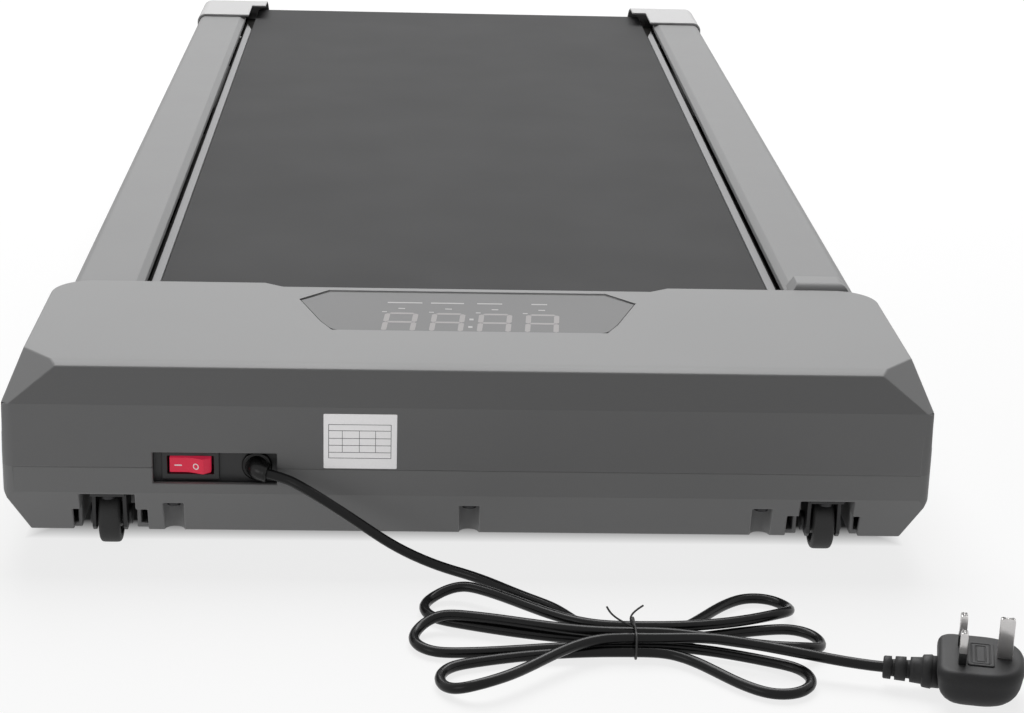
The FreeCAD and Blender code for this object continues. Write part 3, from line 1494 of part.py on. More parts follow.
def hank_stations():
    """The points and headings of the hank, pass by pass through the tie and round each fold."""
    origin = V(hank_x, hank_y, 0)
    heading = V(1, hank_lead_share, 0)
    heading.normalize()
    begin = origin + V(hank_lead_x, hank_lead_y, cord_floor_z)
    stations = [(begin, heading), (begin + heading * hank_end_run, heading)]
    for number, (share, layer) in enumerate(zip(hank_pass_shares, hank_layer_shares)):
        way = 1 if number % 2 == 0 else -1
        z = cord_floor_z + hank_tie_room + layer * hank_rise
        for end in (-way, way):
            stations.append((origin + V(end * hank_waist_half, share * hank_pitch, z), V(way, 0, 0)))
        if number == len(hank_reaches):
            break
        angle = math.radians(hank_fan_angles[number])
        reach = hank_reaches[number]
        half = hank_half_widths[number]
        spread = math.radians(hank_open_right_angle if way > 0 else hank_open_left_angle)
        out = V(way * math.cos(angle), math.sin(angle), 0)
        back = V(-way * math.sin(angle), math.cos(angle), 0)
        shoulder = out * (reach - hank_bend_share * half)
        lift = V(0, 0, cord_floor_z)
        side_in = origin + shoulder + back * half + lift + V(0, 0, hank_lifts_in[number])
        side_out = origin + shoulder - back * half + lift + V(0, 0, hank_lifts_out[number])
        stations.append((side_in, out * math.cos(spread) + back * math.sin(spread)))
        stations.append((origin + out * reach + lift, back * -1))
        stations.append((side_out, out * -math.cos(spread) + back * math.sin(spread)))
    heading = V(hank_tail_run, hank_tail_side, hank_tail_drop)
    heading.normalize()
    finish = origin + V(hank_tail_x, hank_tail_y, hank_tail_z)
    stations += [(finish - heading * hank_end_run, heading), (finish, heading)]
    return stations


def least_gap(edges, step, skip):
    """The least space between two stretches of one tube, measured on points along it."""
    points = []
    travelled = []
    distance = 0.0
    for edge in edges:
        count = max(2, int(edge.Length / step))
        for number in range(count):
            span = edge.LastParameter - edge.FirstParameter
            points.append(edge.valueAt(edge.FirstParameter + span * number / count))
            travelled.append(distance + edge.Length * number / count)
        distance += edge.Length
    least = distance
    for first in range(len(points)):
        for second in range(first + 1, len(points)):
            if travelled[second] - travelled[first] > skip:
                least = min(least, points[first].distanceToPoint(points[second]))
    return least - cord_diameter


# Cord gland: a flange, a neck through the plate and a boot that turns the cord aside
gland_face_y = plate_face_y - gland_flange_thick
gland = rod("y", gland_flange_radius, (gland_face_y, plate_face_y), gland_place)
neck_y = (plate_face_y, plate_face_y + gland_neck_length)
gland = gland.fuse(rod("y", gland_neck_radius, neck_y, gland_place))
boot_turn = math.radians(gland_boot_angle)


def boot_station(angle):
    """A point on the boot's centre line and its heading there, by the angle turned."""
    aside = gland_boot_bend * (1 - math.cos(angle))
    forward = gland_boot_bend * math.sin(angle)
    point = V(gland_x + aside, gland_face_y - forward, gland_z)
    return point, V(math.sin(angle), -math.cos(angle), 0)


boot_sections = []
for number in range(gland_boot_steps + 1):
    point, heading = boot_station(boot_turn * number / gland_boot_steps)
    radius = gland_boot_radius + (gland_boot_end_radius - gland_boot_radius) * number / gland_boot_steps
    boot_sections.append(Part.Wire([Part.Circle(point, heading, radius).toShape()]))
gland = gland.fuse(Part.makeLoft(boot_sections, True, False))
save("cord_gland", gland)

# Mains cord: the lead down to the floor, the tied hank, and the tail to the plug
stations = hank_stations()
boot_end, boot_heading = boot_station(boot_turn)
hank_start, hank_heading = stations[0]
lead_route = [boot_end, boot_end + boot_heading * lead_first_run]
lead_route += [V(gland_x + across, front_y + along, height) for across, along, height in lead_points]
lead_route += [hank_start - hank_heading * lead_last_run, hank_start]
save("cord_lead", tube(rounded_route(lead_route), cord_radius))
hank_edges = [line_edge(stations[0][0], stations[1][0])]
for (start, heading), (end, heading_end) in zip(stations[1:-1], stations[2:-1]):
    if (end - start).getAngle(heading) + heading.getAngle(heading_end) < tiny_share:
        hank_edges.append(line_edge(start, end))
        continue
    for arc in biarc(start, heading, end, heading_end):
        hank_edges.append(arc_from_corner(*arc))
hank_edges.append(line_edge(stations[-2][0], stations[-1][0]))
print("hank's least gap to itself %.2f mm" % least_gap(hank_edges, hank_step, hank_skip))
save("cord_hank", tube(hank_edges, cord_radius))
plug_way = V(math.cos(math.radians(plug_angle)), math.sin(math.radians(plug_angle)), 0)
plug_centre = V(plug_x, plug_y, 0)
cord_end = plug_centre - plug_way * (plug_length / 2 + relief_length) + V(0, 0, plug_cord_z)
hank_end, tail_heading = stations[-1]
tail_route = [hank_end, hank_end + tail_heading * tail_first_run]
tail_route += [cord_end - plug_way * tail_last_run, cord_end]
save("cord_tail", tube(rounded_route(tail_route), cord_radius))

# Tie round the hank's waist, with its two twisted ends standing up
tie_half = max(hank_pass_shares) * hank_pitch + cord_radius + tie_gap
tie_low = cord_lift / 2 + tie_thick
tie_high = cord_floor_z + hank_tie_room + hank_rise + cord_radius + tie_gap
tie_x = (hank_x - tie_width / 2, hank_x + tie_width / 2)
tie_through = (tie_x[0] - cut_overrun, tie_x[1] + cut_overrun)
tie_inner = box(tie_through, (hank_y - tie_half, hank_y + tie_half), (tie_low, tie_high))
tie_y = (hank_y - tie_half - tie_thick, hank_y + tie_half + tie_thick)
tie_outer = box(tie_x, tie_y, (tie_low - tie_thick, tie_high + tie_thick))


def level_edges(shape):
    """The edges that run along X."""
    return [edge for edge in shape.Edges if abs(edge.tangentAt(edge.FirstParameter).x) > 1 - running_gap]


tie_outer = tie_outer.makeFillet(tie_round, level_edges(tie_outer))
tie_inner = tie_inner.makeFillet(tie_round - tie_thick, level_edges(tie_inner))
tie = tie_outer.cut(tie_inner)
for side in (-1, 1):
    lean = math.radians(side * tie_end_angle)
    tie_foot = V(hank_x + side * tie_end_radius, hank_y, tie_high + tie_thick / 2)
    upward = V(math.sin(lean), 0, math.cos(lean))
    tie = tie.fuse(Part.makeCylinder(tie_end_radius, tie_end_length, tie_foot, upward))
save("cord_tie", tie)


def on_plug(shape):
    """Turns and moves a piece drawn about the plug's own centre to where the plug lies."""
    shape.rotate(V(0, 0, 0), V(0, 0, 1), plug_angle)
    shape.translate(plug_centre)
    return shape


# Three-pin mains plug lying on its back
plug = box((-plug_length / 2, plug_length / 2), (-plug_width / 2, plug_width / 2), (0, plug_height))
plug = plug.makeFillet(plug_nose_radius, upright_edges(plug, lambda x: x > 0, lambda y: True))
cord_side = running_gap - plug_length / 2
plug = plug.makeFillet(plug_corner_radius, upright_edges(plug, lambda x: x < cord_side, lambda y: True))
base_edges = [edge for edge in plug.Edges if max(vertex.Z for vertex in edge.Vertexes) < running_gap]
plug = plug.makeFillet(plug_base_round, base_edges)
save("plug_body", on_plug(plug))


def pin(x, y, size_x, size_y, length):
    """A blade with a tapered tip, standing on the plug's face."""
    high = plug_height + length
    span_x = (x - size_x / 2, x + size_x / 2)
    span_y = (y - size_y / 2, y + size_y / 2)
    blade = box(span_x, span_y, (plug_height, high))
    tip = [edge for edge in blade.Edges if min(vertex.Z for vertex in edge.Vertexes) > high - running_gap]
    return blade.makeChamfer(pin_chamfer, tip)


pins = []
for side in (-1, 1):
    pins.append(pin(pin_line_set, side * pin_spacing / 2, line_pin_thick, line_pin_wide, line_pin_length))
pins.append(pin(pin_line_set + pin_spacing, 0, earth_pin_wide, line_pin_thick, earth_pin_length))
save("plug_pins", *[on_plug(blade) for blade in pins])
fuse_y = (-fuse_width / 2, fuse_width / 2)
fuse = box((fuse_from, fuse_from + fuse_length), fuse_y, (plug_height, plug_height + fuse_thick))
save("fuse_carrier", on_plug(fuse))

# Ribbed strain relief between cord and plug
relief_points = [(-plug_length / 2, 0), (-plug_length / 2, relief_root_radius)]
rib_pitch = relief_length / (2 * relief_rib_count)
for rib in range(2 * relief_rib_count):
    share = 1 - rib / (2 * relief_rib_count)
    radius = relief_radius + (relief_root_radius - relief_radius) * share
    if rib % 2:
        radius *= relief_core_share
    x = -plug_length / 2 - rib * rib_pitch
    relief_points += [(x, radius), (x - rib_pitch, radius)]
relief_points.append((-plug_length / 2 - relief_length, 0))
save("plug_relief", on_plug(turned_x(relief_points[1:] + relief_points[:1], (0, plug_cord_z))))
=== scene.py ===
import math
import bmesh
import bpy
import numpy as np
from mathutils import Matrix, Vector


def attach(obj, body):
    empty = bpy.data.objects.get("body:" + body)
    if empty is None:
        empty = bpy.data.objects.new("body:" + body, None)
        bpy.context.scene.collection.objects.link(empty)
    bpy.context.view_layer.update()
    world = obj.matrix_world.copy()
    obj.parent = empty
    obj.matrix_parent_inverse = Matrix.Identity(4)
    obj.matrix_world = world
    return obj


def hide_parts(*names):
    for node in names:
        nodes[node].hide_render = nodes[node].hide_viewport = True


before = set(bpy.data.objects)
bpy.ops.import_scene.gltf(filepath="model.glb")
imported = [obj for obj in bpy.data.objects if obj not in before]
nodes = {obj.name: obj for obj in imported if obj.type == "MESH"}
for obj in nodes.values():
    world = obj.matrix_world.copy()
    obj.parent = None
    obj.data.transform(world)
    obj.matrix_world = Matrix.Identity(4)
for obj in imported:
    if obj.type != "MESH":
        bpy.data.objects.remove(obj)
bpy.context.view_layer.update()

# The viewpoint: a long lens low in front of the motor end, tilted down at it and a little askew.
# The picture is 1024 pixels wide, and the lens's axis meets its middle.
picture_width = 1024
focal_pixels = 2323.4
sensor_width = 36.0
lens_place = Vector((-0.035967, -1.891198, 0.566172))
lens_yaw = 0.045928
lens_pitch = 0.330394
lens_roll = -0.027927
level_right = Vector((math.cos(lens_yaw), -math.sin(lens_yaw), 0))
level_ahead = Vector((math.sin(lens_yaw), math.cos(lens_yaw), 0))
ahead = level_ahead * math.cos(lens_pitch) - Vector((0, 0, math.sin(lens_pitch)))
level_down = ahead.cross(level_right)
right = level_right * math.cos(lens_roll) + level_down * math.sin(lens_roll)
down = level_down * math.cos(lens_roll) - level_right * math.sin(lens_roll)
camera_data = bpy.data.cameras.new("viewpoint")
camera_data.sensor_width = sensor_width
camera_data.lens = focal_pixels / picture_width * sensor_width
camera = bpy.data.objects.new("viewpoint", camera_data)
camera.matrix_world = Matrix.Translation(lens_place) @ Matrix((right, -down, -ahead)).transposed().to_4x4()
bpy.context.scene.collection.objects.link(camera)
bpy.context.scene.camera = camera

# The studio: a pale floor that looks white and lights the front from below, a faint even sky, one broad
# soft lamp high behind the machine and a weak one at the left of the lens. Below the machine the floor's glow
# is dimmed, a painted shadow.
bpy.context.scene.view_settings.view_transform = "Standard"
sky_fill = 0.1
floor_tone = 0.2
floor_seen = 0.8
floor_bounce = 0.3


def seen_white(tree):
    """The largest of three light path marks: 1 for what the lens, a mirror or glass sees,
    0 for what lights."""
    path = tree.nodes.new("ShaderNodeLightPath")
    either = tree.nodes.new("ShaderNodeMath")
    either.operation = "MAXIMUM"
    any_of = tree.nodes.new("ShaderNodeMath")
    any_of.operation = "MAXIMUM"
    tree.links.new(path.outputs["Is Camera Ray"], either.inputs[0])
    tree.links.new(path.outputs["Is Glossy Ray"], either.inputs[1])
    tree.links.new(either.outputs[0], any_of.inputs[0])
    tree.links.new(path.outputs["Is Transmission Ray"], any_of.inputs[1])
    return any_of.outputs[0]


sky = bpy.data.worlds.new("sky")
sky.use_nodes = True
bpy.context.scene.world = sky
sky_light = sky.node_tree.nodes["Background"]
sky_light.inputs["Color"].default_value = (1, 1, 1, 1)
sky_range = sky.node_tree.nodes.new("ShaderNodeMapRange")
sky_range.inputs["To Min"].default_value = sky_fill
sky.node_tree.links.new(seen_white(sky.node_tree), sky_range.inputs["Value"])
sky.node_tree.links.new(sky_range.outputs["Result"], sky_light.inputs["Strength"])


def lamp(name, place, target, size, power):
    """A square soft lamp that hangs at a place and points at a target."""
    data = bpy.data.lights.new(name, "AREA")
    data.size = size
    data.energy = power
    piece = bpy.data.objects.new(name, data)
    piece.location = place
    piece.rotation_euler = (Vector(target) - Vector(place)).to_track_quat("-Z", "Y").to_euler()
    bpy.context.scene.collection.objects.link(piece)


lamp("overhead", place=(0.0, 1.35, 2.5), target=(0.0, -0.1, 0.1), size=2.4, power=100.0)
lamp("front_left", place=(-2.2, -2.2, 0.9), target=(-0.2, -0.6, 0.08), size=1.2, power=7.0)
same_point = 1e-7


def surface(name, grid, wrap_u=False, wrap_v=False):
    """A mesh on a grid of points, u by v, one quad to a cell, closed round u or v where it wraps.
    Points that fall together are merged, so a row drawn in to one point is a closed end."""
    rows, columns = grid.shape[:2]
    u, v = np.meshgrid(np.arange(rows - 1 + wrap_u), np.arange(columns - 1 + wrap_v), indexing="ij")
    next_u = (u + 1) % rows
    next_v = (v + 1) % columns
    corners = ((u, v), (u, next_v), (next_u, next_v), (next_u, v))
    quads = np.stack([row * columns + column for row, column in corners], axis=2)
    mesh = bpy.data.meshes.new(name)
    mesh.from_pydata(grid.reshape(-1, 3), [], quads.reshape(-1, 4))
    form = bmesh.new()
    form.from_mesh(mesh)
    bmesh.ops.remove_doubles(form, verts=form.verts, dist=same_point)
    bmesh.ops.recalc_face_normals(form, faces=form.faces)
    form.to_mesh(mesh)
    form.free()
    mesh.polygons.foreach_set("use_smooth", np.ones(len(mesh.polygons), bool))
    piece = bpy.data.objects.new(name, mesh)
    bpy.context.scene.collection.objects.link(piece)
    return piece


# The half sizes and the fade of the painted shadow under the machine.
shade_halves = {"X": 0.268, "Y": 0.59}
shade_fade = 0.03


def outside_painted_shadow(tree):
    """A share that is 1 on the open floor and fades to 0 below the machine, where the floor's glow is dimmed
    to paint a shadow."""
    place = tree.nodes.new("ShaderNodeTexCoord")
    parts = tree.nodes.new("ShaderNodeSeparateXYZ")
    tree.links.new(place.outputs["Object"], parts.inputs["Vector"])
    edges = []
    for axis, half in shade_halves.items():
        size = tree.nodes.new("ShaderNodeMath")
        size.operation = "ABSOLUTE"
        tree.links.new(parts.outputs[axis], size.inputs[0])
        fade = tree.nodes.new("ShaderNodeMapRange")
        fade.inputs["From Min"].default_value = half - shade_fade
        fade.inputs["From Max"].default_value = half
        tree.links.new(size.outputs[0], fade.inputs["Value"])
        edges.append(fade.outputs["Result"])
    outside = tree.nodes.new("ShaderNodeMath")
    outside.operation = "MAXIMUM"
    tree.links.new(edges[0], outside.inputs[0])
    tree.links.new(edges[1], outside.inputs[1])
    return outside.outputs[0]


floor_half = 6.0
floor_level = -0.0005
floor_line = np.linspace(-floor_half, floor_half, 3)
floor_x, floor_y = np.meshgrid(floor_line, floor_line, indexing="ij")
floor = surface("floor", np.stack([floor_x, floor_y, np.full_like(floor_x, floor_level)], axis=2))
floor_paint = bpy.data.materials.new("floor_paint")
floor_paint.use_nodes = True
floor_tree = floor_paint.node_tree
floor_matt = floor_tree.nodes["Principled BSDF"]
floor_matt.inputs["Base Color"].default_value = (floor_tone, floor_tone, floor_tone, 1)
floor_matt.inputs["Roughness"].default_value = 1.0
floor_matt.inputs["Specular IOR Level"].default_value = 0.0
floor_matt.inputs["Emission Color"].default_value = (1, 1, 1, 1)
floor_range = floor_tree.nodes.new("ShaderNodeMapRange")
floor_range.inputs["To Min"].default_value = floor_bounce
floor_range.inputs["To Max"].default_value = floor_seen
floor_tree.links.new(seen_white(floor_tree), floor_range.inputs["Value"])
floor_glow = floor_tree.nodes.new("ShaderNodeMath")
floor_glow.operation = "MULTIPLY"
floor_tree.links.new(floor_range.outputs["Result"], floor_glow.inputs[0])
# Painted shadow: the floor's glow fades out below the machine.
floor_tree.links.new(outside_painted_shadow(floor_tree), floor_glow.inputs[1])
floor_tree.links.new(floor_glow.outputs[0], floor_matt.inputs["Emission Strength"])
floor.data.materials.append(floor_paint)

# The welded steel frame: two rectangular side tubes, a welded tray in front, four cross bars and the
# brackets for the belt's tension, powder coated black all over, with black screws.
per_metre = 1000.0
patch_scale = 11.0
noise_low = 0.3
noise_high = 0.7
pits_share = 0.5
grain = bpy.data.node_groups.new("grain", "ShaderNodeTree")
grain.interface.new_socket("Size", in_out="INPUT", socket_type="NodeSocketFloat")
grain.interface.new_socket("Stretch", in_out="INPUT", socket_type="NodeSocketVector")
grain.interface.new_socket("Pits", in_out="OUTPUT", socket_type="NodeSocketFloat")
grain.interface.new_socket("Patches", in_out="OUTPUT", socket_type="NodeSocketFloat")
grain_in = grain.nodes.new("NodeGroupInput")
grain_out = grain.nodes.new("NodeGroupOutput")
grain_place = grain.nodes.new("ShaderNodeTexCoord")
grain_drawn = grain.nodes.new("ShaderNodeVectorMath")
grain_drawn.operation = "MULTIPLY"
grain_pitch = grain.nodes.new("ShaderNodeMath")
grain_pitch.operation = "DIVIDE"
grain_pitch.inputs[0].default_value = per_metre
grain_pits = grain.nodes.new("ShaderNodeTexNoise")
grain_pits.inputs["Detail"].default_value = 2.0
grain_patches = grain.nodes.new("ShaderNodeTexNoise")
grain_patches.inputs["Scale"].default_value = patch_scale
grain_patches.inputs["Detail"].default_value = 4.0
grain.links.new(grain_place.outputs["Object"], grain_drawn.inputs[0])
grain.links.new(grain_in.outputs["Stretch"], grain_drawn.inputs[1])
grain.links.new(grain_in.outputs["Size"], grain_pitch.inputs[1])
grain.links.new(grain_drawn.outputs["Vector"], grain_pits.inputs["Vector"])
grain.links.new(grain_pitch.outputs[0], grain_pits.inputs["Scale"])
grain.links.new(grain_place.outputs["Object"], grain_patches.inputs["Vector"])
grain.links.new(grain_pits.outputs["Fac"], grain_out.inputs["Pits"])
grain.links.new(grain_patches.outputs["Fac"], grain_out.inputs["Patches"])


def ranged(tree, value, low, high):
    """A noise value between its usual low and high spread over a range, and held at the range's ends."""
    spread = tree.nodes.new("ShaderNodeMapRange")
    spread.inputs["From Min"].default_value = noise_low
    spread.inputs["From Max"].default_value = noise_high
    spread.inputs["To Min"].default_value = low
    spread.inputs["To Max"].default_value = high
    tree.links.new(value, spread.inputs["Value"])
    return spread.outputs["Result"]


def blended(tree, share, first, second):
    """Two colours mixed by a share that changes over the surface."""
    mix = tree.nodes.new("ShaderNodeMix")
    mix.data_type = "RGBA"
    tree.links.new(share, mix.inputs["Factor"])
    mix.inputs["A"].default_value = (*first, 1)
    mix.inputs["B"].default_value = (*second, 1)
    return mix.outputs["Result"]


def finish(name, tone, spread, rough, size, depth, stretch=(1, 1, 1), metallic=0.0, coat=0.0, specular=0.5):
    """A grained finish: a tone lighter and darker by a spread in slow patches and fine pits,
    a roughness between two values, and pits of a size and depth in millimetres."""
    material = bpy.data.materials.new(name)
    material.use_nodes = True
    tree = material.node_tree
    shader = tree.nodes["Principled BSDF"]
    noise = tree.nodes.new("ShaderNodeGroup")
    noise.node_tree = grain
    noise.inputs["Size"].default_value = size
    noise.inputs["Stretch"].default_value = stretch
    share = tree.nodes.new("ShaderNodeMath")
    share.operation = "MULTIPLY_ADD"
    share.inputs[1].default_value = pits_share
    rest = tree.nodes.new("ShaderNodeMath")
    rest.operation = "MULTIPLY"
    rest.inputs[1].default_value = 1 - pits_share
    tree.links.new(noise.outputs["Patches"], rest.inputs[0])
    tree.links.new(noise.outputs["Pits"], share.inputs[0])
    tree.links.new(rest.outputs[0], share.inputs[2])
    dark = tuple(part * (1 - spread) for part in tone)
    pale = tuple(min(1.0, part * (1 + spread)) for part in tone)
    tint = blended(tree, ranged(tree, share.outputs[0], 0, 1), dark, pale)
    tree.links.new(tint, shader.inputs["Base Color"])
    tree.links.new(ranged(tree, noise.outputs["Patches"], *rough), shader.inputs["Roughness"])
    relief = tree.nodes.new("ShaderNodeBump")
    relief.inputs["Distance"].default_value = depth / per_metre
    tree.links.new(noise.outputs["Pits"], relief.inputs["Height"])
    tree.links.new(relief.outputs["Normal"], shader.inputs["Normal"])
    shader.inputs["Metallic"].default_value = metallic
    shader.inputs["Coat Weight"].default_value = coat
    shader.inputs["Specular IOR Level"].default_value = specular
    return material


def dress(material, *names):
    """Gives CAD nodes a finish in place of their plain one."""
    for name in names:
        nodes[name].data.materials.clear()
        nodes[name].data.materials.append(material)


powder_coat = finish("powder_coat", tone=(0.012, 0.012, 0.013), spread=0.2, rough=(0.5, 0.65),
                     size=1.4, depth=0.04, specular=0.12)
black_screw = finish("black_screw", tone=(0.03, 0.03, 0.032), spread=0.2, rough=(0.4, 0.55),
                     size=0.7, depth=0.02, metallic=0.3)
dress(powder_coat, "side_beam_left", "side_beam_right", "front_tray", "deck_cross_bars", "tension_brackets")
dress(black_screw, "frame_screws", "housing_screws")

# The deck: a board of pressed fibre faced with black film, on rubber cushions on the cross bars.
# Grey plastic strips close its two long edges beside the belt.
merge_reach = 1e-5
flat_turn = math.radians(1)
sharp_crease = 12
fibre_board = finish("fibre_board", tone=(0.007, 0.0066, 0.006), spread=0.25, rough=(0.6, 0.8),
                     size=1.5, depth=0.05, stretch=(1, 0.12, 1), specular=0.06)
cushion_rubber = finish("cushion_rubber", tone=(0.014, 0.014, 0.014), spread=0.2, rough=(0.7, 0.85),
                        size=0.9, depth=0.04)
dress(fibre_board, "running_deck")
dress(cushion_rubber, "deck_cushions")


def rounded(node, edge, material, crease=sharp_crease, shortest=0):
    """A node's own form with its edges eased: the copy is merged, its flat faces are made whole, and a
    bevel of a width in millimetres rounds each crease of enough degrees and length. The other creases
    stay sharp, and the large faces keep their own normals."""
    mesh = nodes[node].data.copy()
    form = bmesh.new()
    form.from_mesh(mesh)
    bmesh.ops.remove_doubles(form, verts=form.verts, dist=merge_reach)
    bmesh.ops.dissolve_limit(form, angle_limit=flat_turn, verts=form.verts, edges=form.edges)
    angles = np.array([line.calc_face_angle(0) for line in form.edges])
    lengths = np.array([line.calc_length() for line in form.edges])
    form.to_mesh(mesh)
    form.free()
    eased = (angles > math.radians(crease)) & (lengths > shortest / per_metre)
    weights = mesh.attributes.new("bevel_weight_edge", "FLOAT", "EDGE")
    weights.data.foreach_set("value", eased.astype(np.float32))
    mesh.edges.foreach_set("use_edge_sharp", ~eased & (angles > math.radians(sharp_crease)))
    mesh.polygons.foreach_set("use_smooth", np.ones(len(mesh.polygons), bool))
    mesh.materials.clear()
    mesh.materials.append(material)
    piece = bpy.data.objects.new(node + "_eased", mesh)
    bpy.context.scene.collection.objects.link(piece)
    easing = piece.modifiers.new("eased_edges", "BEVEL")
    easing.width = edge / per_metre
    easing.segments = 3
    easing.limit_method = "WEIGHT"
    easing.use_clamp_overlap = False
    flattening = piece.modifiers.new("flat_faces", "WEIGHTED_NORMAL")
    flattening.keep_sharp = True
    flattening.weight = 100
    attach(piece, "frame")
    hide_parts(node)


strip_plastic = finish("strip_plastic", tone=(0.29, 0.29, 0.295), spread=0.05, rough=(0.5, 0.62),
                       size=0.7, depth=0.02, specular=0.25)
rounded("deck_edge_strips", edge=0.6, material=strip_plastic)

# The rollers: steel tubes turned smooth, on sealed bearings and steel axles. Two socket-head bolts
# draw the rear axle back, and the front roller carries the driven pulley.
turned_steel = finish("turned_steel", tone=(0.5, 0.5, 0.5), spread=0.1, rough=(0.22, 0.36),
                      size=0.7, depth=0.012, stretch=(6, 1, 1), metallic=1.0)
bolt_steel = finish("bolt_steel", tone=(0.12, 0.12, 0.125), spread=0.2, rough=(0.3, 0.45),
                    size=0.6, depth=0.02, metallic=0.9)
dress(turned_steel, "front_roller_tube", "rear_roller_tube", "front_axle", "rear_axle",
      "front_roller_bearings", "rear_roller_bearings")
dress(bolt_steel, "tension_bolt_left", "tension_bolt_right")

# The running belt: two plies of woven fabric under a matt black PVC face with a fine even grain,
# joined into a loop that runs over the deck and round both rollers.
belt_face = finish("belt_face", tone=(0.05, 0.05, 0.051), spread=0.04, rough=(0.62, 0.68),
                   size=1.1, depth=0.05, specular=0.08)
dress(belt_face, "running_belt")

# The drive: a brushed motor in a black can, strapped to a steel saddle on the tray, with a cast
# flywheel at one end and at the other a ribbed belt to the front roller's pulley.
can_paint = finish("can_paint", tone=(0.018, 0.018, 0.02), spread=0.2, rough=(0.3, 0.42),
                   size=1.0, depth=0.02, coat=0.3)
copper_winding = finish("copper_winding", tone=(0.45, 0.19, 0.08), spread=0.3, rough=(0.3, 0.5),
                        size=0.9, depth=0.2, stretch=(1, 0.1, 0.1), metallic=0.8)
cast_metal = finish("cast_metal", tone=(0.3, 0.3, 0.31), spread=0.15, rough=(0.4, 0.6),
                    size=1.2, depth=0.06, metallic=0.9)
zinc_plate = finish("zinc_plate", tone=(0.55, 0.55, 0.53), spread=0.12, rough=(0.25, 0.4),
                    size=0.8, depth=0.01, metallic=1.0)
drive_rubber = finish("drive_rubber", tone=(0.012, 0.012, 0.013), spread=0.2, rough=(0.5, 0.65),
                      size=0.8, depth=0.05)
dress(can_paint, "motor_can")
dress(turned_steel, "motor_shaft")
dress(copper_winding, "motor_armature")
dress(cast_metal, "motor_flywheel", "motor_pulley", "roller_pulley")
dress(zinc_plate, "motor_mount")
dress(drive_rubber, "drive_belt")

# The electronics: a green glass-fibre board on brass standoffs, with a finned heatsink, a choke,
# a relay and two capacitors, and under the window the display's black board and its digit blocks.
green_board = finish("green_board", tone=(0.02, 0.11, 0.05), spread=0.25, rough=(0.3, 0.45),
                     size=2.5, depth=0.03)
fin_aluminium = finish("fin_aluminium", tone=(0.6, 0.6, 0.62), spread=0.08, rough=(0.3, 0.42),
                       size=0.5, depth=0.02, stretch=(1, 0.1, 1), metallic=1.0)
sleeve_plastic = finish("sleeve_plastic", tone=(0.03, 0.035, 0.05), spread=0.3, rough=(0.3, 0.45),
                        size=2.0, depth=0.02)
standoff_brass = finish("standoff_brass", tone=(0.6, 0.42, 0.16), spread=0.1, rough=(0.25, 0.4),
                        size=0.6, depth=0.02, metallic=1.0)
digit_resin = finish("digit_resin", tone=(0.05, 0.05, 0.05), spread=0.2, rough=(0.3, 0.4),
                     size=1.0, depth=0.01)
black_board = finish("black_board", tone=(0.012, 0.013, 0.013), spread=0.2, rough=(0.3, 0.45),
                     size=2.5, depth=0.03)
dress(green_board, "controller_board")
dress(black_board, "display_board")
dress(fin_aluminium, "controller_heatsink")
dress(sleeve_plastic, "controller_components")
dress(standoff_brass, "board_standoffs", "switch_terminals")
dress(digit_resin, "display_digits")

# The belly pan and the motor hood: two moulded shells of silver-grey plastic, screwed together at a
# level seam. The pan holds the wheels' wells and three screw slots, and the hood is faceted in front.
silver_plastic = finish("silver_plastic", tone=(0.31, 0.31, 0.312), spread=0.03, rough=(0.46, 0.52),
                        size=0.45, depth=0.012, specular=0.2)
# The pan's grey is a copy of the hood's made a little lighter: painted light for the floor's light on its
# downward-leaning front.
pan_painted_lighter = finish("pan_painted_lighter", tone=(0.35, 0.35, 0.352), spread=0.03, rough=(0.46, 0.52),
                  size=0.45, depth=0.012, specular=0.2)
rounded("belly_pan", edge=0.8, material=pan_painted_lighter, crease=25, shortest=2.0)
rounded("motor_hood", edge=0.9, material=silver_plastic, crease=25, shortest=2.0)

# The display window: a smoked plastic panel let into the hood's top and glued under its edge, with a painted
# shadow along its far sides, a thin black strip where the hood's edge shades it. Pale digit segments and
# short bars show through it.


def capped(name, rings):
    """Rings of points joined one to the next, each end drawn in to its own middle."""
    ends = np.broadcast_to(rings[[0, -1]].mean(axis=1, keepdims=True), rings[[0, -1]].shape)
    return surface(name, np.concatenate([ends[:1], rings, ends[1:]]), wrap_v=True)


def rounded_outline(corners, reaches, steps=7):
    """A polygon with rounded corners: at each one a parabola that touches both sides a reach away."""
    corners = np.array(corners, float)
    sides = [np.roll(corners, turn, axis=0) - corners for turn in (1, -1)]
    touch = [corners + side * (np.array(reaches) / np.linalg.norm(side, axis=1))[:, None] for side in sides]
    share = np.linspace(0, 1, steps)[:, None]
    pulls = ((1 - share) ** 2, 2 * share * (1 - share), share ** 2)
    pulled = zip(pulls, (touch[0], corners, touch[1]))
    return sum(pull * points[:, None] for pull, points in pulled).reshape(-1, 2)


def drawn_in(outline, inset):
    """An outline moved inwards, square to its own run at each point."""
    run = np.roll(outline, -1, axis=0) - np.roll(outline, 1, axis=0)
    run = run / np.linalg.norm(run, axis=1)[:, None]
    return outline + inset * np.stack([-run[:, 1], run[:, 0]], axis=1)


def placed(points, origin=(0, 0, 0), across=(1, 0, 0), along=(0, 1, 0)):
    """Points in millimetres set out from an origin, across, along, and square to both."""
    axes = np.array([across, along, np.cross(across, along)])
    return (np.array(points) @ axes + np.array(origin)) / per_metre


def at_height(outline, height):
    """The points of a flat outline, all at one height."""
    return np.column_stack([outline, np.full(len(outline), height)])


def stacked(name, outline, rows, **place):
    """An outline stacked up row by row, each drawn in by an inset at a height, and closed at both ends."""
    rings = [at_height(drawn_in(outline, inset), height) for inset, height in rows]
    return capped(name, placed(np.array(rings), **place))


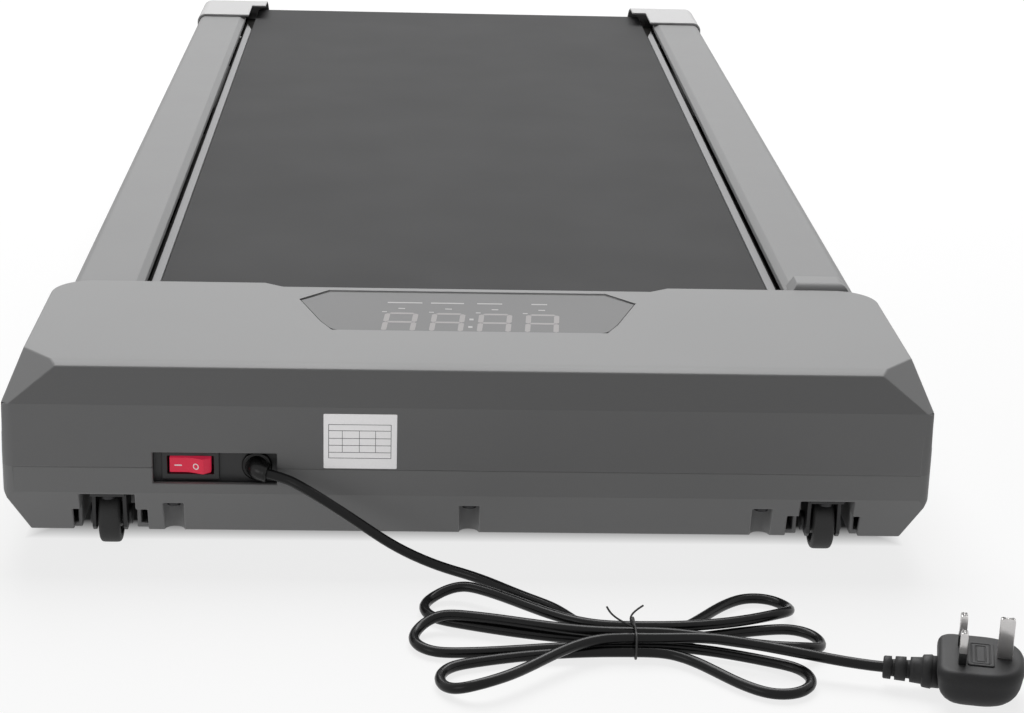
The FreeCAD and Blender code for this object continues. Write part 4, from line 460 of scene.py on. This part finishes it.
def slips(name, outlines, low, high, **place):
    """Many thin flat prisms in one mesh: each outline at two heights, two lids and a quad on each side."""
    count, sides = outlines.shape[:2]
    level = np.ones((count, sides, 1))
    points = np.stack([np.concatenate([outlines, level * height], axis=2) for height in (low, high)], axis=1)
    index = np.arange(count * 2 * sides).reshape(count, 2, sides)
    low_rim, high_rim = index[:, 0], index[:, 1]
    walls = np.stack([low_rim, np.roll(low_rim, -1, axis=1), np.roll(high_rim, -1, axis=1), high_rim], axis=2)
    mesh = bpy.data.meshes.new(name)
    faces = high_rim.tolist() + low_rim[:, ::-1].tolist() + walls.reshape(-1, 4).tolist()
    mesh.from_pydata(placed(points, **place).reshape(-1, 3), [], faces)
    piece = bpy.data.objects.new(name, mesh)
    bpy.context.scene.collection.objects.link(piece)
    return piece


def fitted(piece, material, slot, *replaced, body="frame"):
    """Gives a piece its finish and its body, and the nodes that it stands for. The slot is not used."""
    piece.data.materials.clear()
    piece.data.materials.append(material)
    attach(piece, body)
    if replaced:
        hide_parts(*replaced)
    return piece


window_low = 113.8
window_top = 117.4
window_edge = 0.4
edge_bulge = 0.12
near_round = 7.0
far_round = 1.5
window_corners = (
    (-84, -538.5), (84, -538.5), (91.9, -522), (106.6, -478),
    (89, -459), (-89, -459), (-106.6, -478), (-91.9, -522))
window_outline = rounded_outline(window_corners, [near_round] * 3 + [far_round] * 4 + [near_round])
window_rows = (
    (0, window_low), (0, window_top - window_edge), (edge_bulge, window_top - edge_bulge),
    (window_edge, window_top), (2 * window_edge, window_top))
smoked_plastic = finish("smoked_plastic", tone=(0.175, 0.175, 0.177), spread=0.02, rough=(0.3, 0.36),
                        size=0.4, depth=0.004, specular=0.2)
window = stacked("display_window", window_outline, window_rows)
fitted(window, smoked_plastic, "smoked_window", "display_lens")

# A painted shadow: a thin black strip along the window's far sides stands in for the shade of the hood's
# edge.
shadow_line_low = window_top - 0.2
shadow_line_high = window_top + 0.05
shadow_line_outer = np.array([(-106.2, -478), (-88.9, -459.3), (88.9, -459.3), (106.2, -478)])
shadow_line_inner = shadow_line_outer + np.array([(1.2, -0.2), (0.5, -1.3), (-0.5, -1.3), (-1.2, -0.2)])
shadow_line_rings = np.stack([
    at_height(shadow_line_outer, shadow_line_low), at_height(shadow_line_outer, shadow_line_high),
    at_height(shadow_line_inner, shadow_line_high), at_height(shadow_line_inner, shadow_line_low)], axis=1)
painted_shadow_black = finish("painted_shadow_black", tone=(0.012, 0.012, 0.012), spread=0.2, rough=(0.5, 0.6),
                    size=0.6, depth=0.01)
fitted(capped("painted_window_shadow", placed(shadow_line_rings)), painted_shadow_black, "black_plastic")

# Seven bars make a digit, but the nearest lies under the window's front edge, so six show.
digit_lefts = np.array([-52.0, -22.5, 6.9, 36.5])
digit_shift = 1.2
digit_wide = 17.6
digit_long = 34.5
digit_far = -503.5
digit_near = -537.6
digit_lean = 0.07
bar_wide = 3.3
bar_gap = 0.5
mark_low = window_top - 0.1
mark_high = window_top + 0.03
half_long = digit_long / 2 - bar_gap
bar_places = np.array([
    (digit_wide / 2, 0, 0), (digit_wide / 2, -digit_long / 2, 0),
    (0, -digit_long / 4, 1), (digit_wide, -digit_long / 4, 1),
    (0, -digit_long * 3 / 4, 1), (digit_wide, -digit_long * 3 / 4, 1)])
bar_halves = np.where(bar_places[:, 2] > 0, half_long / 2, digit_wide / 2 - bar_gap)
bar_ends = np.array([(-1, 0), (-1, 1), (1, 1), (1, 0), (1, -1), (-1, -1)])
bar_shape = np.array([0, bar_wide / 2, bar_wide / 2, 0, bar_wide / 2, bar_wide / 2])
bar_run = bar_ends[:, 0] * (bar_halves[:, None] - bar_shape)
bar_side = np.broadcast_to(bar_ends[:, 1] * bar_wide / 2, bar_run.shape)
upright = bar_places[:, 2:] > 0
bar_x = bar_places[:, :1] + np.where(upright, bar_side, bar_run)
bar_y = bar_places[:, 1:2] + np.where(upright, -bar_run, bar_side)
digit_bars = np.stack([bar_x + digit_lean * bar_y, bar_y + digit_far], axis=2)
digit_places = np.stack([digit_lefts + digit_shift, np.zeros(len(digit_lefts))], axis=1)
digits = (digit_bars[None] + digit_places[:, None, None]).reshape(-1, *digit_bars.shape[1:])
digits[:, :, 1] = np.maximum(digits[:, :, 1], digit_near)
segment_ink = finish("segment_ink", tone=(0.29, 0.27, 0.27), spread=0.04, rough=(0.3, 0.36),
                     size=0.8, depth=0.004)
fitted(slips("digit_segments", digits, mark_low, mark_high), segment_ink, "smoked_window")


def oblongs(centres, sizes):
    """Rectangles from their centres and their sizes across and along."""
    corners = np.array([(-1, -1), (1, -1), (1, 1), (-1, 1)]) / 2
    return np.array(centres, float)[:, None] + corners * np.array(sizes, float)[:, None]


def in_line(across, along):
    """Places side by side in one line across a face."""
    return np.column_stack([across, np.full(len(across), along)])


middles = digit_lefts + digit_wide / 2
caption_places = in_line(middles + (3, 0.5, -2, 0), -481.5)
caption_sizes = [(22, 2.2), (21, 2.2), (16, 2.2), (10, 2.2)]
tick_places = in_line(middles + 1, -493.5)
tick_size = (4.2, 1.8)
dash_places = in_line(digit_lefts - 1, -500.5)
dash_size = (3, 1.6)
colon_places = [(1.4, -514), (0.4, -529)]
colon_size = (2.6, 3.4)
captions = oblongs(caption_places, caption_sizes)
ticks = oblongs(tick_places, [tick_size] * len(tick_places))
dashes = oblongs(dash_places, [dash_size] * len(dash_places))
colon = oblongs(colon_places, [colon_size] * len(colon_places))
caption_ink = finish("caption_ink", tone=(0.45, 0.44, 0.44), spread=0.04, rough=(0.3, 0.36),
                     size=0.8, depth=0.004)
marks = np.concatenate([captions, ticks, dashes, colon])
fitted(slips("display_marks", marks, mark_low, mark_high), caption_ink, "smoked_window")

# The switch plate behind the recess carries a rocker switch: a black housing with a bezel that snaps
# into the plate, and a red rocker on an upright pin, with a bar for on and a ring for off.
black_plastic = finish("black_plastic", tone=(0.016, 0.016, 0.017), spread=0.15, rough=(0.35, 0.48),
                       size=0.6, depth=0.015)
rounded("switch_plate", edge=0.5, material=black_plastic)
rounded("switch_housing", edge=0.4, material=black_plastic)
rocker_red = finish("rocker_red", tone=(0.7, 0.02, 0.045), spread=0.06, rough=(0.2, 0.28),
                    size=1.2, depth=0.004, specular=0.3)
# The strength of the painted glow given to the rocker and its marks.
painted_glow_strength = 0.3


def painted_glow(material, colour):
    """Paints a faint glow of a colour into a piece, so it looks brighter than its lamps make it, though no
    lamp is in it.
    """
    shader = material.node_tree.nodes["Principled BSDF"]
    shader.inputs["Emission Color"].default_value = (*colour, 1)
    shader.inputs["Emission Strength"].default_value = painted_glow_strength


# Painted glow: the red rocker gives off a faint red light to look brighter.
painted_glow(rocker_red, (1.0, 0.045, 0.12))
pin_y = -606.1
rocker_place = {"origin": (-165, pin_y, 56.4), "across": (1, 0, 0), "along": (0, -1, 0)}
pressed_face = 4.75
raised_foot = -0.8
raised_ridge = (7.6, 8.3)
rocker_corners = [
    (-12.3, 0.5), (12.0, 0.5), (12.0, 4.6), raised_ridge, (raised_foot, pressed_face), (-12.3, pressed_face)]
rocker_rounds = (0.4, 0.4, 0.5, 1.0, 2.5, 0.7)
rocker_outline = rounded_outline(rocker_corners, rocker_rounds)
upper_rows = ((0, 4.0), (0, 4.3), (0.15, 4.6), (0.5, 4.75), (0.9, 4.75))
rocker_rows = (*((inset, -height) for inset, height in reversed(upper_rows)), *upper_rows)
rocker = stacked("rocker_cap", rocker_outline, rocker_rows, **rocker_place)
fitted(rocker, rocker_red, "rocker_red", "rocker", body="rocker")
raised_slope = math.atan2(raised_ridge[1] - pressed_face, raised_ridge[0] - raised_foot)
mark_white = finish("mark_white", tone=(0.8, 0.78, 0.78), spread=0.03, rough=(0.4, 0.5),
                    size=0.8, depth=0.004)
# Painted glow: the white on and off marks give off a faint pinkish light to look brighter.
painted_glow(mark_white, (1.0, 0.75, 0.78))
on_size = (4.4, 0.8)
on_round = 0.3
on_outline = rounded_outline(oblongs([(0, 0)], [on_size])[0], [on_round] * 4)
on_place = {"origin": (-172.2, pin_y - pressed_face, 56.2), "across": (1, 0, 0), "along": (0, 0, 1)}
on_rows = ((0, -0.1), (0, 0.03), (0.06, 0.05))
on_mark = stacked("on_mark", on_outline, on_rows, **on_place)
fitted(on_mark, mark_white, "rocker_red", body="rocker")
lap_steps = 40
rim_steps = 12
lap = np.linspace(0, 2 * np.pi, lap_steps, endpoint=False)[:, None]
rim = np.linspace(0, 2 * np.pi, rim_steps, endpoint=False)
ring_middle = 1.6
ring_half = 0.34
ring_rise = 0.06
off_up_slope = 4.1
ring_radius = ring_middle + ring_half * np.cos(rim)
ring_height = ring_rise * np.sin(rim) + 0 * lap
ring_points = np.stack([ring_radius * np.cos(lap), ring_radius * np.sin(lap), ring_height], axis=2)
off_place = {
    "origin": (-161.7, pin_y - pressed_face - off_up_slope * math.tan(raised_slope), 56.0),
    "across": (math.cos(raised_slope), -math.sin(raised_slope), 0), "along": (0, 0, 1)}
off_mark = surface("off_mark", placed(ring_points, **off_place), wrap_u=True, wrap_v=True)
fitted(off_mark, mark_white, "rocker_red", body="rocker")

# The side rails: long aluminium covers, folded over the beams and painted matt silver. A moulded grey
# block is clipped on the right one, just behind the hood.
rail_silver = finish("rail_silver", tone=(0.225, 0.225, 0.227), spread=0.03, rough=(0.42, 0.5),
                     size=0.5, depth=0.008, stretch=(1, 0.08, 1), specular=0.3)
rounded("side_rail_left", edge=0.7, material=rail_silver)
rounded("side_rail_right", edge=0.7, material=rail_silver)
rounded("rail_block_right", edge=0.5, material=silver_plastic)

# The tail: two moulded end caps of paler grey plastic, screwed to the beams over the rails' ends and
# rounded down behind, and under them two rubber feet.
cap_plastic = finish("cap_plastic", tone=(0.5, 0.498, 0.5), spread=0.03, rough=(0.45, 0.55),
                     size=0.5, depth=0.012, specular=0.3)
rounded("rear_end_cap_left", edge=0.7, material=cap_plastic)
rounded("rear_end_cap_right", edge=0.7, material=cap_plastic)
rounded("rear_feet", edge=1.2, material=cushion_rubber)

# The transport wheels: smooth black rubber tyres on dished plastic hubs. Each one turns on an axle
# between the ears of a black fork that is bolted up into a well of the pan.
wheel_places = {"wheel_left": -214.3, "wheel_right": 214.3}
wheel_y = -592.0
wheel_radius = 17.0
half_tyre = np.array([
    (-6.2, 12.1), (-6.3, 14.2), (-6.2, 15.4), (-5.7, 16.3), (-4.9, 16.8), (-3.8, 16.97),
    (-2.0, wheel_radius)])
half_hub = np.array([
    (-6.3, 4.1), (-6.3, 7.0), (-6.0, 7.4), (-4.0, 7.6), (-3.6, 8.2), (-3.5, 10.6), (-3.9, 11.4),
    (-4.6, 12.0)])
turn_steps = 72


def turned(name, half_profile, middle):
    """Half a profile of places along X and radii, and its mirror image, turned once about a line
    along X through a middle."""
    profile = np.concatenate([half_profile, half_profile[::-1] * (-1, 1)])
    angle = np.linspace(0, 2 * np.pi, turn_steps, endpoint=False)
    radius = profile[:, 1:]
    along = np.broadcast_to(profile[:, :1], (len(profile), len(angle)))
    points = np.stack([along, radius * np.cos(angle), radius * np.sin(angle)], axis=2)
    return surface(name, placed(points, origin=middle), wrap_u=True, wrap_v=True)


tyre_rubber = finish("tyre_rubber", tone=(0.018, 0.018, 0.018), spread=0.2, rough=(0.55, 0.7),
                     size=0.9, depth=0.04)
hub_plastic = finish("hub_plastic", tone=(0.03, 0.03, 0.031), spread=0.15, rough=(0.4, 0.55),
                     size=0.8, depth=0.02)
for body, wheel_x in wheel_places.items():
    side = body.split("_")[1]
    middle = (wheel_x, wheel_y, wheel_radius)
    tyre = turned("tyre_" + side, half_tyre, middle)
    fitted(tyre, tyre_rubber, "wheel_tyre", "wheel_tyre_" + side, body=body)
    hub = turned("hub_" + side, half_hub, middle)
    fitted(hub, hub_plastic, "black_plastic", "wheel_hub_" + side, body=body)
rounded("wheel_forks", edge=0.4, material=black_plastic)

# The rating plate: a slip of white metal foil with an empty table ruled on it in dark ink. It is
# stuck on the hood's front, just above the seam.
plate_left = -86.6
plate_low = 56.9
plate_wide = 43.1
plate_high = 34.2
plate_round = 0.8
hood_front = -615.0
plate_place = {"origin": (plate_left, hood_front, plate_low), "across": (1, 0, 0), "along": (0, 0, 1)}
plate_corners = [(0, 0), (plate_wide, 0), (plate_wide, plate_high), (0, plate_high)]
plate_outline = rounded_outline(plate_corners, [plate_round] * 4)
white_foil = finish("white_foil", tone=(0.79, 0.78, 0.785), spread=0.03, rough=(0.35, 0.45),
                    size=1.5, depth=0.006, metallic=0.85)
plate_rows = ((0, -0.05), (0, 0.08), (0.1, 0.12), (0.3, 0.12))
fitted(stacked("rating_plate", plate_outline, plate_rows, **plate_place), white_foil, "hood_plastic")
rule_rows = (27.6, 23.8, 19.0, 14.6, 10.2, 6.6)
rule_middle = plate_wide / 2 - 0.25
rule_size = (36.6, 0.35)
end_stops = (3.0, 39.6)
end_height = 17.1
end_size = (0.35, 21.3)
inner_stops = (11.0, 21.0, 30.5)
inner_height = 17.0
inner_size = (0.3, 13.6)
rule_low = 0.05
rule_high = 0.14
level_rules = oblongs([(rule_middle, height) for height in rule_rows], [rule_size] * len(rule_rows))
end_rules = oblongs(in_line(end_stops, end_height), [end_size] * len(end_stops))
inner_rules = oblongs(in_line(inner_stops, inner_height), [inner_size] * len(inner_stops))
rule_ink = finish("rule_ink", tone=(0.12, 0.12, 0.13), spread=0.1, rough=(0.5, 0.6),
                  size=0.8, depth=0.004)
rules = np.concatenate([level_rules, end_rules, inner_rules])
fitted(slips("plate_rules", rules, rule_low, rule_high, **plate_place), rule_ink, "black_plastic")

# The cord's gland: a glossy black rubber flange and boot that plug into the switch plate and turn the
# cord aside in one smooth elbow.
gland_middle = np.array([-126.0, -609.0, 56.0])
gland_thick = 2.5
boot_bend = 8.0
boot_turn = math.radians(80)
boot_dip = math.radians(10)
aside_way = np.array([math.cos(boot_dip), 0, -math.sin(boot_dip)])
out_way = np.array([0, -1, 0])
flange_depth = np.array([-1.5, 0.2, 0.9, 1.8, 2.4, 2.5])
flange_radius = np.array([8.4, 8.9, 9.0, 8.8, 8.1, 7.2])
boot_steps = 22
boot_root = 6.9
boot_taper = 2.0
boot_curve = 0.8
boot_lip = (5.2, 5.25, 4.9)
boot_angle = np.linspace(0, boot_turn, boot_steps)
boot_radius = boot_root - boot_taper * np.linspace(0, 1, boot_steps) ** boot_curve
boot_radius[-len(boot_lip):] = boot_lip
gland_turn = np.concatenate([np.zeros(len(flange_depth)), boot_angle])[:, None]
gland_aside = boot_bend * (1 - np.cos(gland_turn))
gland_out = np.concatenate([flange_depth, gland_thick + boot_bend * np.sin(boot_angle)])[:, None]
gland_line = gland_middle + gland_aside * aside_way + gland_out * out_way
gland_side = np.cos(gland_turn) * aside_way - np.sin(gland_turn) * out_way
gland_radius = np.concatenate([flange_radius, boot_radius])
round_steps = 48
round_angle = np.linspace(0, 2 * np.pi, round_steps, endpoint=False)


def ringed(line, side, upward, radius, angle):
    """Rings about a line of points: each a circle of its radius in the plane of a side and an
    upward way."""
    spokes = side[:, None] * np.cos(angle)[:, None] + upward * np.sin(angle)[:, None]
    return (line[:, None] + radius[:, None, None] * spokes) / per_metre


gland_rings = ringed(gland_line, gland_side, np.cross(out_way, aside_way), gland_radius, round_angle)
boot_rubber = finish("boot_rubber", tone=(0.01, 0.01, 0.01), spread=0.15, rough=(0.2, 0.28),
                     size=1.0, depth=0.01, specular=0.25)
gland = fitted(capped("gland_boot", gland_rings), boot_rubber, "soft_rubber", "cord_gland")

# The mains cord: black PVC, 6 mm thick. It leaves the boot, falls to the floor, is folded back and
# forth into a hank of six loose folds, and ends in the plug's strain relief.
cord_thick = 6.0
floor_lift = 3.2
hank_middle = np.array([88.5, -738.0, 0.0])
fold_angles = np.radians((31.0, 25.5, 3.0, 4.0, -28.0, -25.0))
fold_reaches = (105.5, 126.0, 104.5, 121.5, 102.0, 116.5)
fold_halves = (18.0, 18.0, 17.5, 18.0, 18.0, 18.0)
fold_lifts_in = (0.0, 6.0, 0.0, 6.0, 0.0, 0.0)
fold_lifts_out = (6.0, 0.0, 6.0, 0.0, 0.0, 6.7)
strand_pitch = 7.2
layer_rise = 6.7
waist_lift = 1.4
pass_sides = np.array((1.5, 1.0, 0.5, 0.0, -0.5, -1.5, -1.0)) * strand_pitch
pass_lifts = np.array((0, 1, 0, 1, 0, 0, 1)) * layer_rise + floor_lift + waist_lift
waist_half = 9.0
shoulder_set = 1.1
fold_opening = {1: math.radians(3), -1: math.radians(4)}


def eased(start, heading, end, heading_end, pull, count):
    """Points from one place and heading towards another on a cubic curve, whose ends pull by a share
    of the gap."""
    share = np.arange(count)[:, None] / count
    reach = np.linalg.norm(end - start) * pull
    near = (2 * share ** 3 - 3 * share ** 2 + 1) * start
    near = near + (share ** 3 - 2 * share ** 2 + share) * reach * heading
    far = (3 * share ** 2 - 2 * share ** 3) * end + (share ** 3 - share ** 2) * reach * heading_end
    return near + far


def one_way(*parts):
    """A direction of length one."""
    return np.array(parts) / np.linalg.norm(parts)


def fold(number, way):
    """A fold of the hank: in along one side, round its far end and out along the other, with the
    headings."""
    angle = fold_angles[number]
    out = np.array([way * math.cos(angle), math.sin(angle), 0])
    back = np.array([-way * math.sin(angle), math.cos(angle), 0])
    half = fold_halves[number]
    shoulder = hank_middle + out * (fold_reaches[number] - shoulder_set * half) + (0, 0, floor_lift)
    spread = fold_opening[way]
    tip = hank_middle + out * fold_reaches[number] + (0, 0, floor_lift)
    way_in = out * math.cos(spread) + back * math.sin(spread)
    way_out = back * math.sin(spread) - out * math.cos(spread)
    return [
        (shoulder + back * half + (0, 0, fold_lifts_in[number]), way_in),
        (tip, -back),
        (shoulder - back * half + (0, 0, fold_lifts_out[number]), way_out)]


hank_start = hank_middle + (-46.0, 52.0, floor_lift)
lead_heading = one_way(1, -0.88, 0)
hank_end = hank_middle + (50.0, -15.0, 14.0)
tail_heading = one_way(80, -24, -2)
plug_turn = math.radians(-12)
plug_way = np.array([math.cos(plug_turn), math.sin(plug_turn), 0])
plug_middle = np.array([268.6, -787.0, 0.0])
plug_long = 46.0
relief_long = 28.0
relief_high = 10.5
cord_end = plug_middle - plug_way * (plug_long / 2 + relief_long) + (0, 0, relief_high)
boot_end = gland_line[-1]
boot_heading = math.sin(boot_turn) * aside_way + math.cos(boot_turn) * out_way
stops = [(hank_start, lead_heading)]
for number, (side, lift) in enumerate(zip(pass_sides, pass_lifts)):
    way = 1 - 2 * (number % 2)
    heading = np.array([way, 0, 0])
    stops += [(hank_middle + (end * waist_half, side, lift), heading) for end in (-way, way)]
    if number < len(fold_reaches):
        stops += fold(number, way)
stops.append((hank_end, tail_heading))
straight = 0.999
turned_back = 0.36
tie_longest = 20.0
hank_points = []
for (start, heading), (end, heading_end) in zip(stops, stops[1:]):
    bent = heading @ heading_end
    if bent > straight and np.linalg.norm(end - start) < tie_longest:
        pull, count = 1.0, 1
    elif bent < turned_back:
        pull, count = 1.17, 4
    else:
        pull, count = 1.0, 7
    hank_points.append(eased(start, heading, end, heading_end, pull, count))
boot_run = 11.0
hank_run = 20.0
tail_run = 24.0
relief_run = 15.0
lead_points = [
    boot_end, boot_end + boot_heading * boot_run, (-99, -626.5, 49.8), (-86.5, -631.5, 44), (-66, -636.5, 32),
    (-44, -637, 16.5), (-20, -638, 5.4), (5, -650, floor_lift), hank_start - lead_heading * hank_run]
tail_points = [hank_end, hank_end + tail_heading * tail_run, cord_end - plug_way * relief_run, cord_end]
route = np.concatenate([lead_points, *hank_points, tail_points]) / per_metre
cord_curve = bpy.data.curves.new("mains_cord", "CURVE")
cord_curve.dimensions = "3D"
cord_curve.bevel_depth = cord_thick / 2 / per_metre
cord_curve.bevel_resolution = 5
cord_curve.resolution_u = 5
spline = cord_curve.splines.new("NURBS")
spline.points.add(len(route) - 1)
spline.points.foreach_set("co", np.column_stack([route, np.ones(len(route))]).ravel())
spline.order_u = 3
spline.use_endpoint_u = True
cord = bpy.data.objects.new("mains_cord", cord_curve)
bpy.context.scene.collection.objects.link(cord)
cord_pvc = finish("cord_pvc", tone=(0.009, 0.009, 0.0095), spread=0.15, rough=(0.2, 0.27),
                  size=1.5, depth=0.01, specular=0.2)
fitted(cord, cord_pvc, "soft_rubber", "cord_lead", "cord_hank", "cord_tail")

# The tie: a thin black coated wire, drawn once round the hank's waist and twisted, with its two cut
# ends standing up.
tie_half = 14.6
tie_low = 0.75
tie_high = 15.2
tie_wire = 0.65
end_wire = 0.55
end_foot = (0, -2.0, tie_high - 0.3)
end_steps = 16
tie_corners = [(-tie_half, tie_low), (tie_half, tie_low), (tie_half, tie_high), (-tie_half, tie_high)]
tie_rounds = (4.5, 4.5, 6.5, 6.5)
tie_outline = rounded_outline(tie_corners, tie_rounds, steps=9)
tie_run = np.roll(tie_outline, -1, axis=0) - np.roll(tie_outline, 1, axis=0)
tie_out = np.stack([tie_run[:, 1], -tie_run[:, 0]], axis=1) / np.linalg.norm(tie_run, axis=1)[:, None]
tie_line = hank_middle + np.column_stack([np.zeros(len(tie_outline)), tie_outline])
tie_side = np.column_stack([np.zeros(len(tie_outline)), tie_out])
wire_steps = 10
wire_angle = np.linspace(0, 2 * np.pi, wire_steps, endpoint=False)
tie_rings = ringed(tie_line, tie_side, np.array([1.0, 0, 0]), np.full(len(tie_line), tie_wire), wire_angle)
tie_coat = finish("tie_coat", tone=(0.014, 0.014, 0.014), spread=0.15, rough=(0.35, 0.45),
                  size=0.8, depth=0.01)
tie = fitted(surface("hank_tie", tie_rings, wrap_u=True, wrap_v=True), tie_coat, "tie_wire", "cord_tie")
for label, lean, rise, sway in (("left", -16.0, 12.5, -3.0), ("right", 4.0, 13.5, -4.5)):
    share = np.linspace(0, 1, end_steps)
    wire_x = lean * share + sway * np.sin(np.pi * share)
    slope = np.stack([lean + sway * np.pi * np.cos(np.pi * share), np.full(end_steps, rise)], axis=1)
    slope = slope / np.linalg.norm(slope, axis=1)[:, None]
    wire_line = hank_middle + end_foot + np.stack([wire_x, 0 * share, rise * share], axis=1)
    wire_side = np.stack([slope[:, 1], 0 * share, -slope[:, 0]], axis=1)
    wire_rings = ringed(wire_line, wire_side, np.array([0, 1.0, 0]), np.full(end_steps, end_wire), wire_angle)
    fitted(capped("tie_end_" + label, wire_rings), tie_coat, "tie_wire")

# The plug: a three-pin mains plug moulded in black PVC on the cord, lying on its back. It has a
# square cord side and a round nose, sides that curve in like a bowl, and sleeved line pins.
plug_place = {"origin": plug_middle, "across": plug_way, "along": np.cross((0, 0, 1), plug_way)}
plug_wide = 51.0
plug_high = 23.0
plug_rounds = (11, 23, 23, 8)
plug_outline = rounded_outline(oblongs([(0, 0)], [(plug_long, plug_wide)])[0], plug_rounds, steps=17)
plug_rows = (
    (15.0, 0.0), (11.5, 0.4), (8.6, 1.3), (6.0, 2.8), (3.9, 4.8), (2.3, 7.2), (1.3, 9.9), (0.8, 12.5),
    (0.6, 14.2), (0.3, 15.8), (0.05, 17.4), (0.1, 19.2), (0.4, 20.8), (1.0, 21.9), (1.9, 22.7),
    (3.0, plug_high), (4.0, plug_high))
blade_round = 0.5
line_size = (4.0, 6.35)
line_along = -10.3
line_half_pitch = 11.1
earth_size = (8.0, 4.0)
earth_along = 11.9


def narrowed(name, outline, middle, half, rows, **place):
    """An outline stacked up row by row, each drawn in to its middle by an inset's share of its half
    sizes."""
    inwards = [(outline - middle) * (1 - inset / np.array(half)) + middle for inset, _ in rows]
    rings = [at_height(ring, height) for ring, (_, height) in zip(inwards, rows)]
    return capped(name, placed(np.array(rings), **place))


plug_pvc = finish("plug_pvc", tone=(0.04, 0.04, 0.041), spread=0.12, rough=(0.5, 0.62),
                  size=0.8, depth=0.03, specular=0.22)
plug_halves = (plug_long / 2, plug_wide / 2)
plug_form = narrowed("plug_moulding", plug_outline, (0, 0), plug_halves, plug_rows, **plug_place)
plug_body = fitted(plug_form, plug_pvc, "black_plastic", "plug_body")


def blade(name, middle, size, rows, material, slot, *replaced):
    """A bar of oblong section, rounded at its corners, that stands on the plug's face."""
    outline = rounded_outline(oblongs([middle], [size])[0], [blade_round] * 4, steps=5)
    return fitted(stacked(name, outline, rows, **plug_place), material, slot, *replaced)


nickel_plate = finish("nickel_plate", tone=(0.88, 0.86, 0.85), spread=0.05, rough=(0.26, 0.34),
                      size=1.0, depth=0.006, metallic=0.45)
line_rows = ((0.02, 22.9), (0.02, 39.0), (0.1, 39.6), (0.5, 40.3), (0.9, 40.65), (1.2, 40.7))
sleeve_rows = ((-0.06, 22.9), (-0.06, 29.0), (0.0, 29.4), (0.12, 29.5))
earth_rows = ((0.0, 22.9), (0.0, 44.2), (0.1, 44.7), (0.5, 45.3), (0.9, 45.65), (1.2, 45.7))
pins = [blade("earth_pin", (earth_along, 0), earth_size, earth_rows, nickel_plate, "brass", "plug_pins")]
for label, across in (("near", -line_half_pitch), ("far", line_half_pitch)):
    middle = (line_along, across)
    pins.append(blade("line_pin_" + label, middle, line_size, line_rows, nickel_plate, "brass"))
    pins.append(blade("pin_sleeve_" + label, middle, line_size, sleeve_rows, plug_pvc, "black_plastic"))
fuse_middle = (-0.5, 0)
fuse_halves = np.array([7, 14])
fuse_round = 1.6
fuse_rows = (
    (0, 22.8), (0, 23.5), (0.15, 23.75), (0.4, 23.8), (1.5, 23.8), (1.7, 23.7), (1.8, 23.4), (2.3, 23.4),
    (2.4, 23.65), (2.65, 23.75), (4.0, 23.75), (4.2, 23.65), (4.3, 23.35), (4.8, 23.35), (4.9, 23.6),
    (5.1, 23.7), (5.8, 23.7))
fuse_outline = rounded_outline(oblongs([fuse_middle], [2 * fuse_halves])[0], [fuse_round] * 4)
fuse_form = narrowed("fuse_door", fuse_outline, fuse_middle, fuse_halves, fuse_rows, **plug_place)
fuse = fitted(fuse_form, plug_pvc, "black_plastic", "fuse_carrier")
relief_profile = np.array([
    (-21.0, 8.6), (-24.8, 8.6), (-25.2, 8.8), (-25.5, 9.2), (-29.8, 8.7), (-30.3, 8.2), (-30.6, 7.2),
    (-34.8, 6.9), (-36.6, 6.75), (-36.8, 5.0), (-38.7, 4.9), (-38.9, 6.6), (-44.6, 6.35), (-44.8, 4.7),
    (-46.4, 4.6), (-46.6, 6.25), (-50.3, 6.1), (-50.9, 5.6), (-51.0, 4.4)])
relief_line = plug_middle + relief_profile[:, :1] * plug_way + (0, 0, relief_high)
relief_side = np.broadcast_to(plug_place["along"], relief_line.shape)
relief_rings = ringed(relief_line, relief_side, np.array([0, 0, 1.0]), relief_profile[:, 1], round_angle)
relief = fitted(capped("strain_relief", relief_rings), plug_pvc, "black_plastic", "plug_relief")
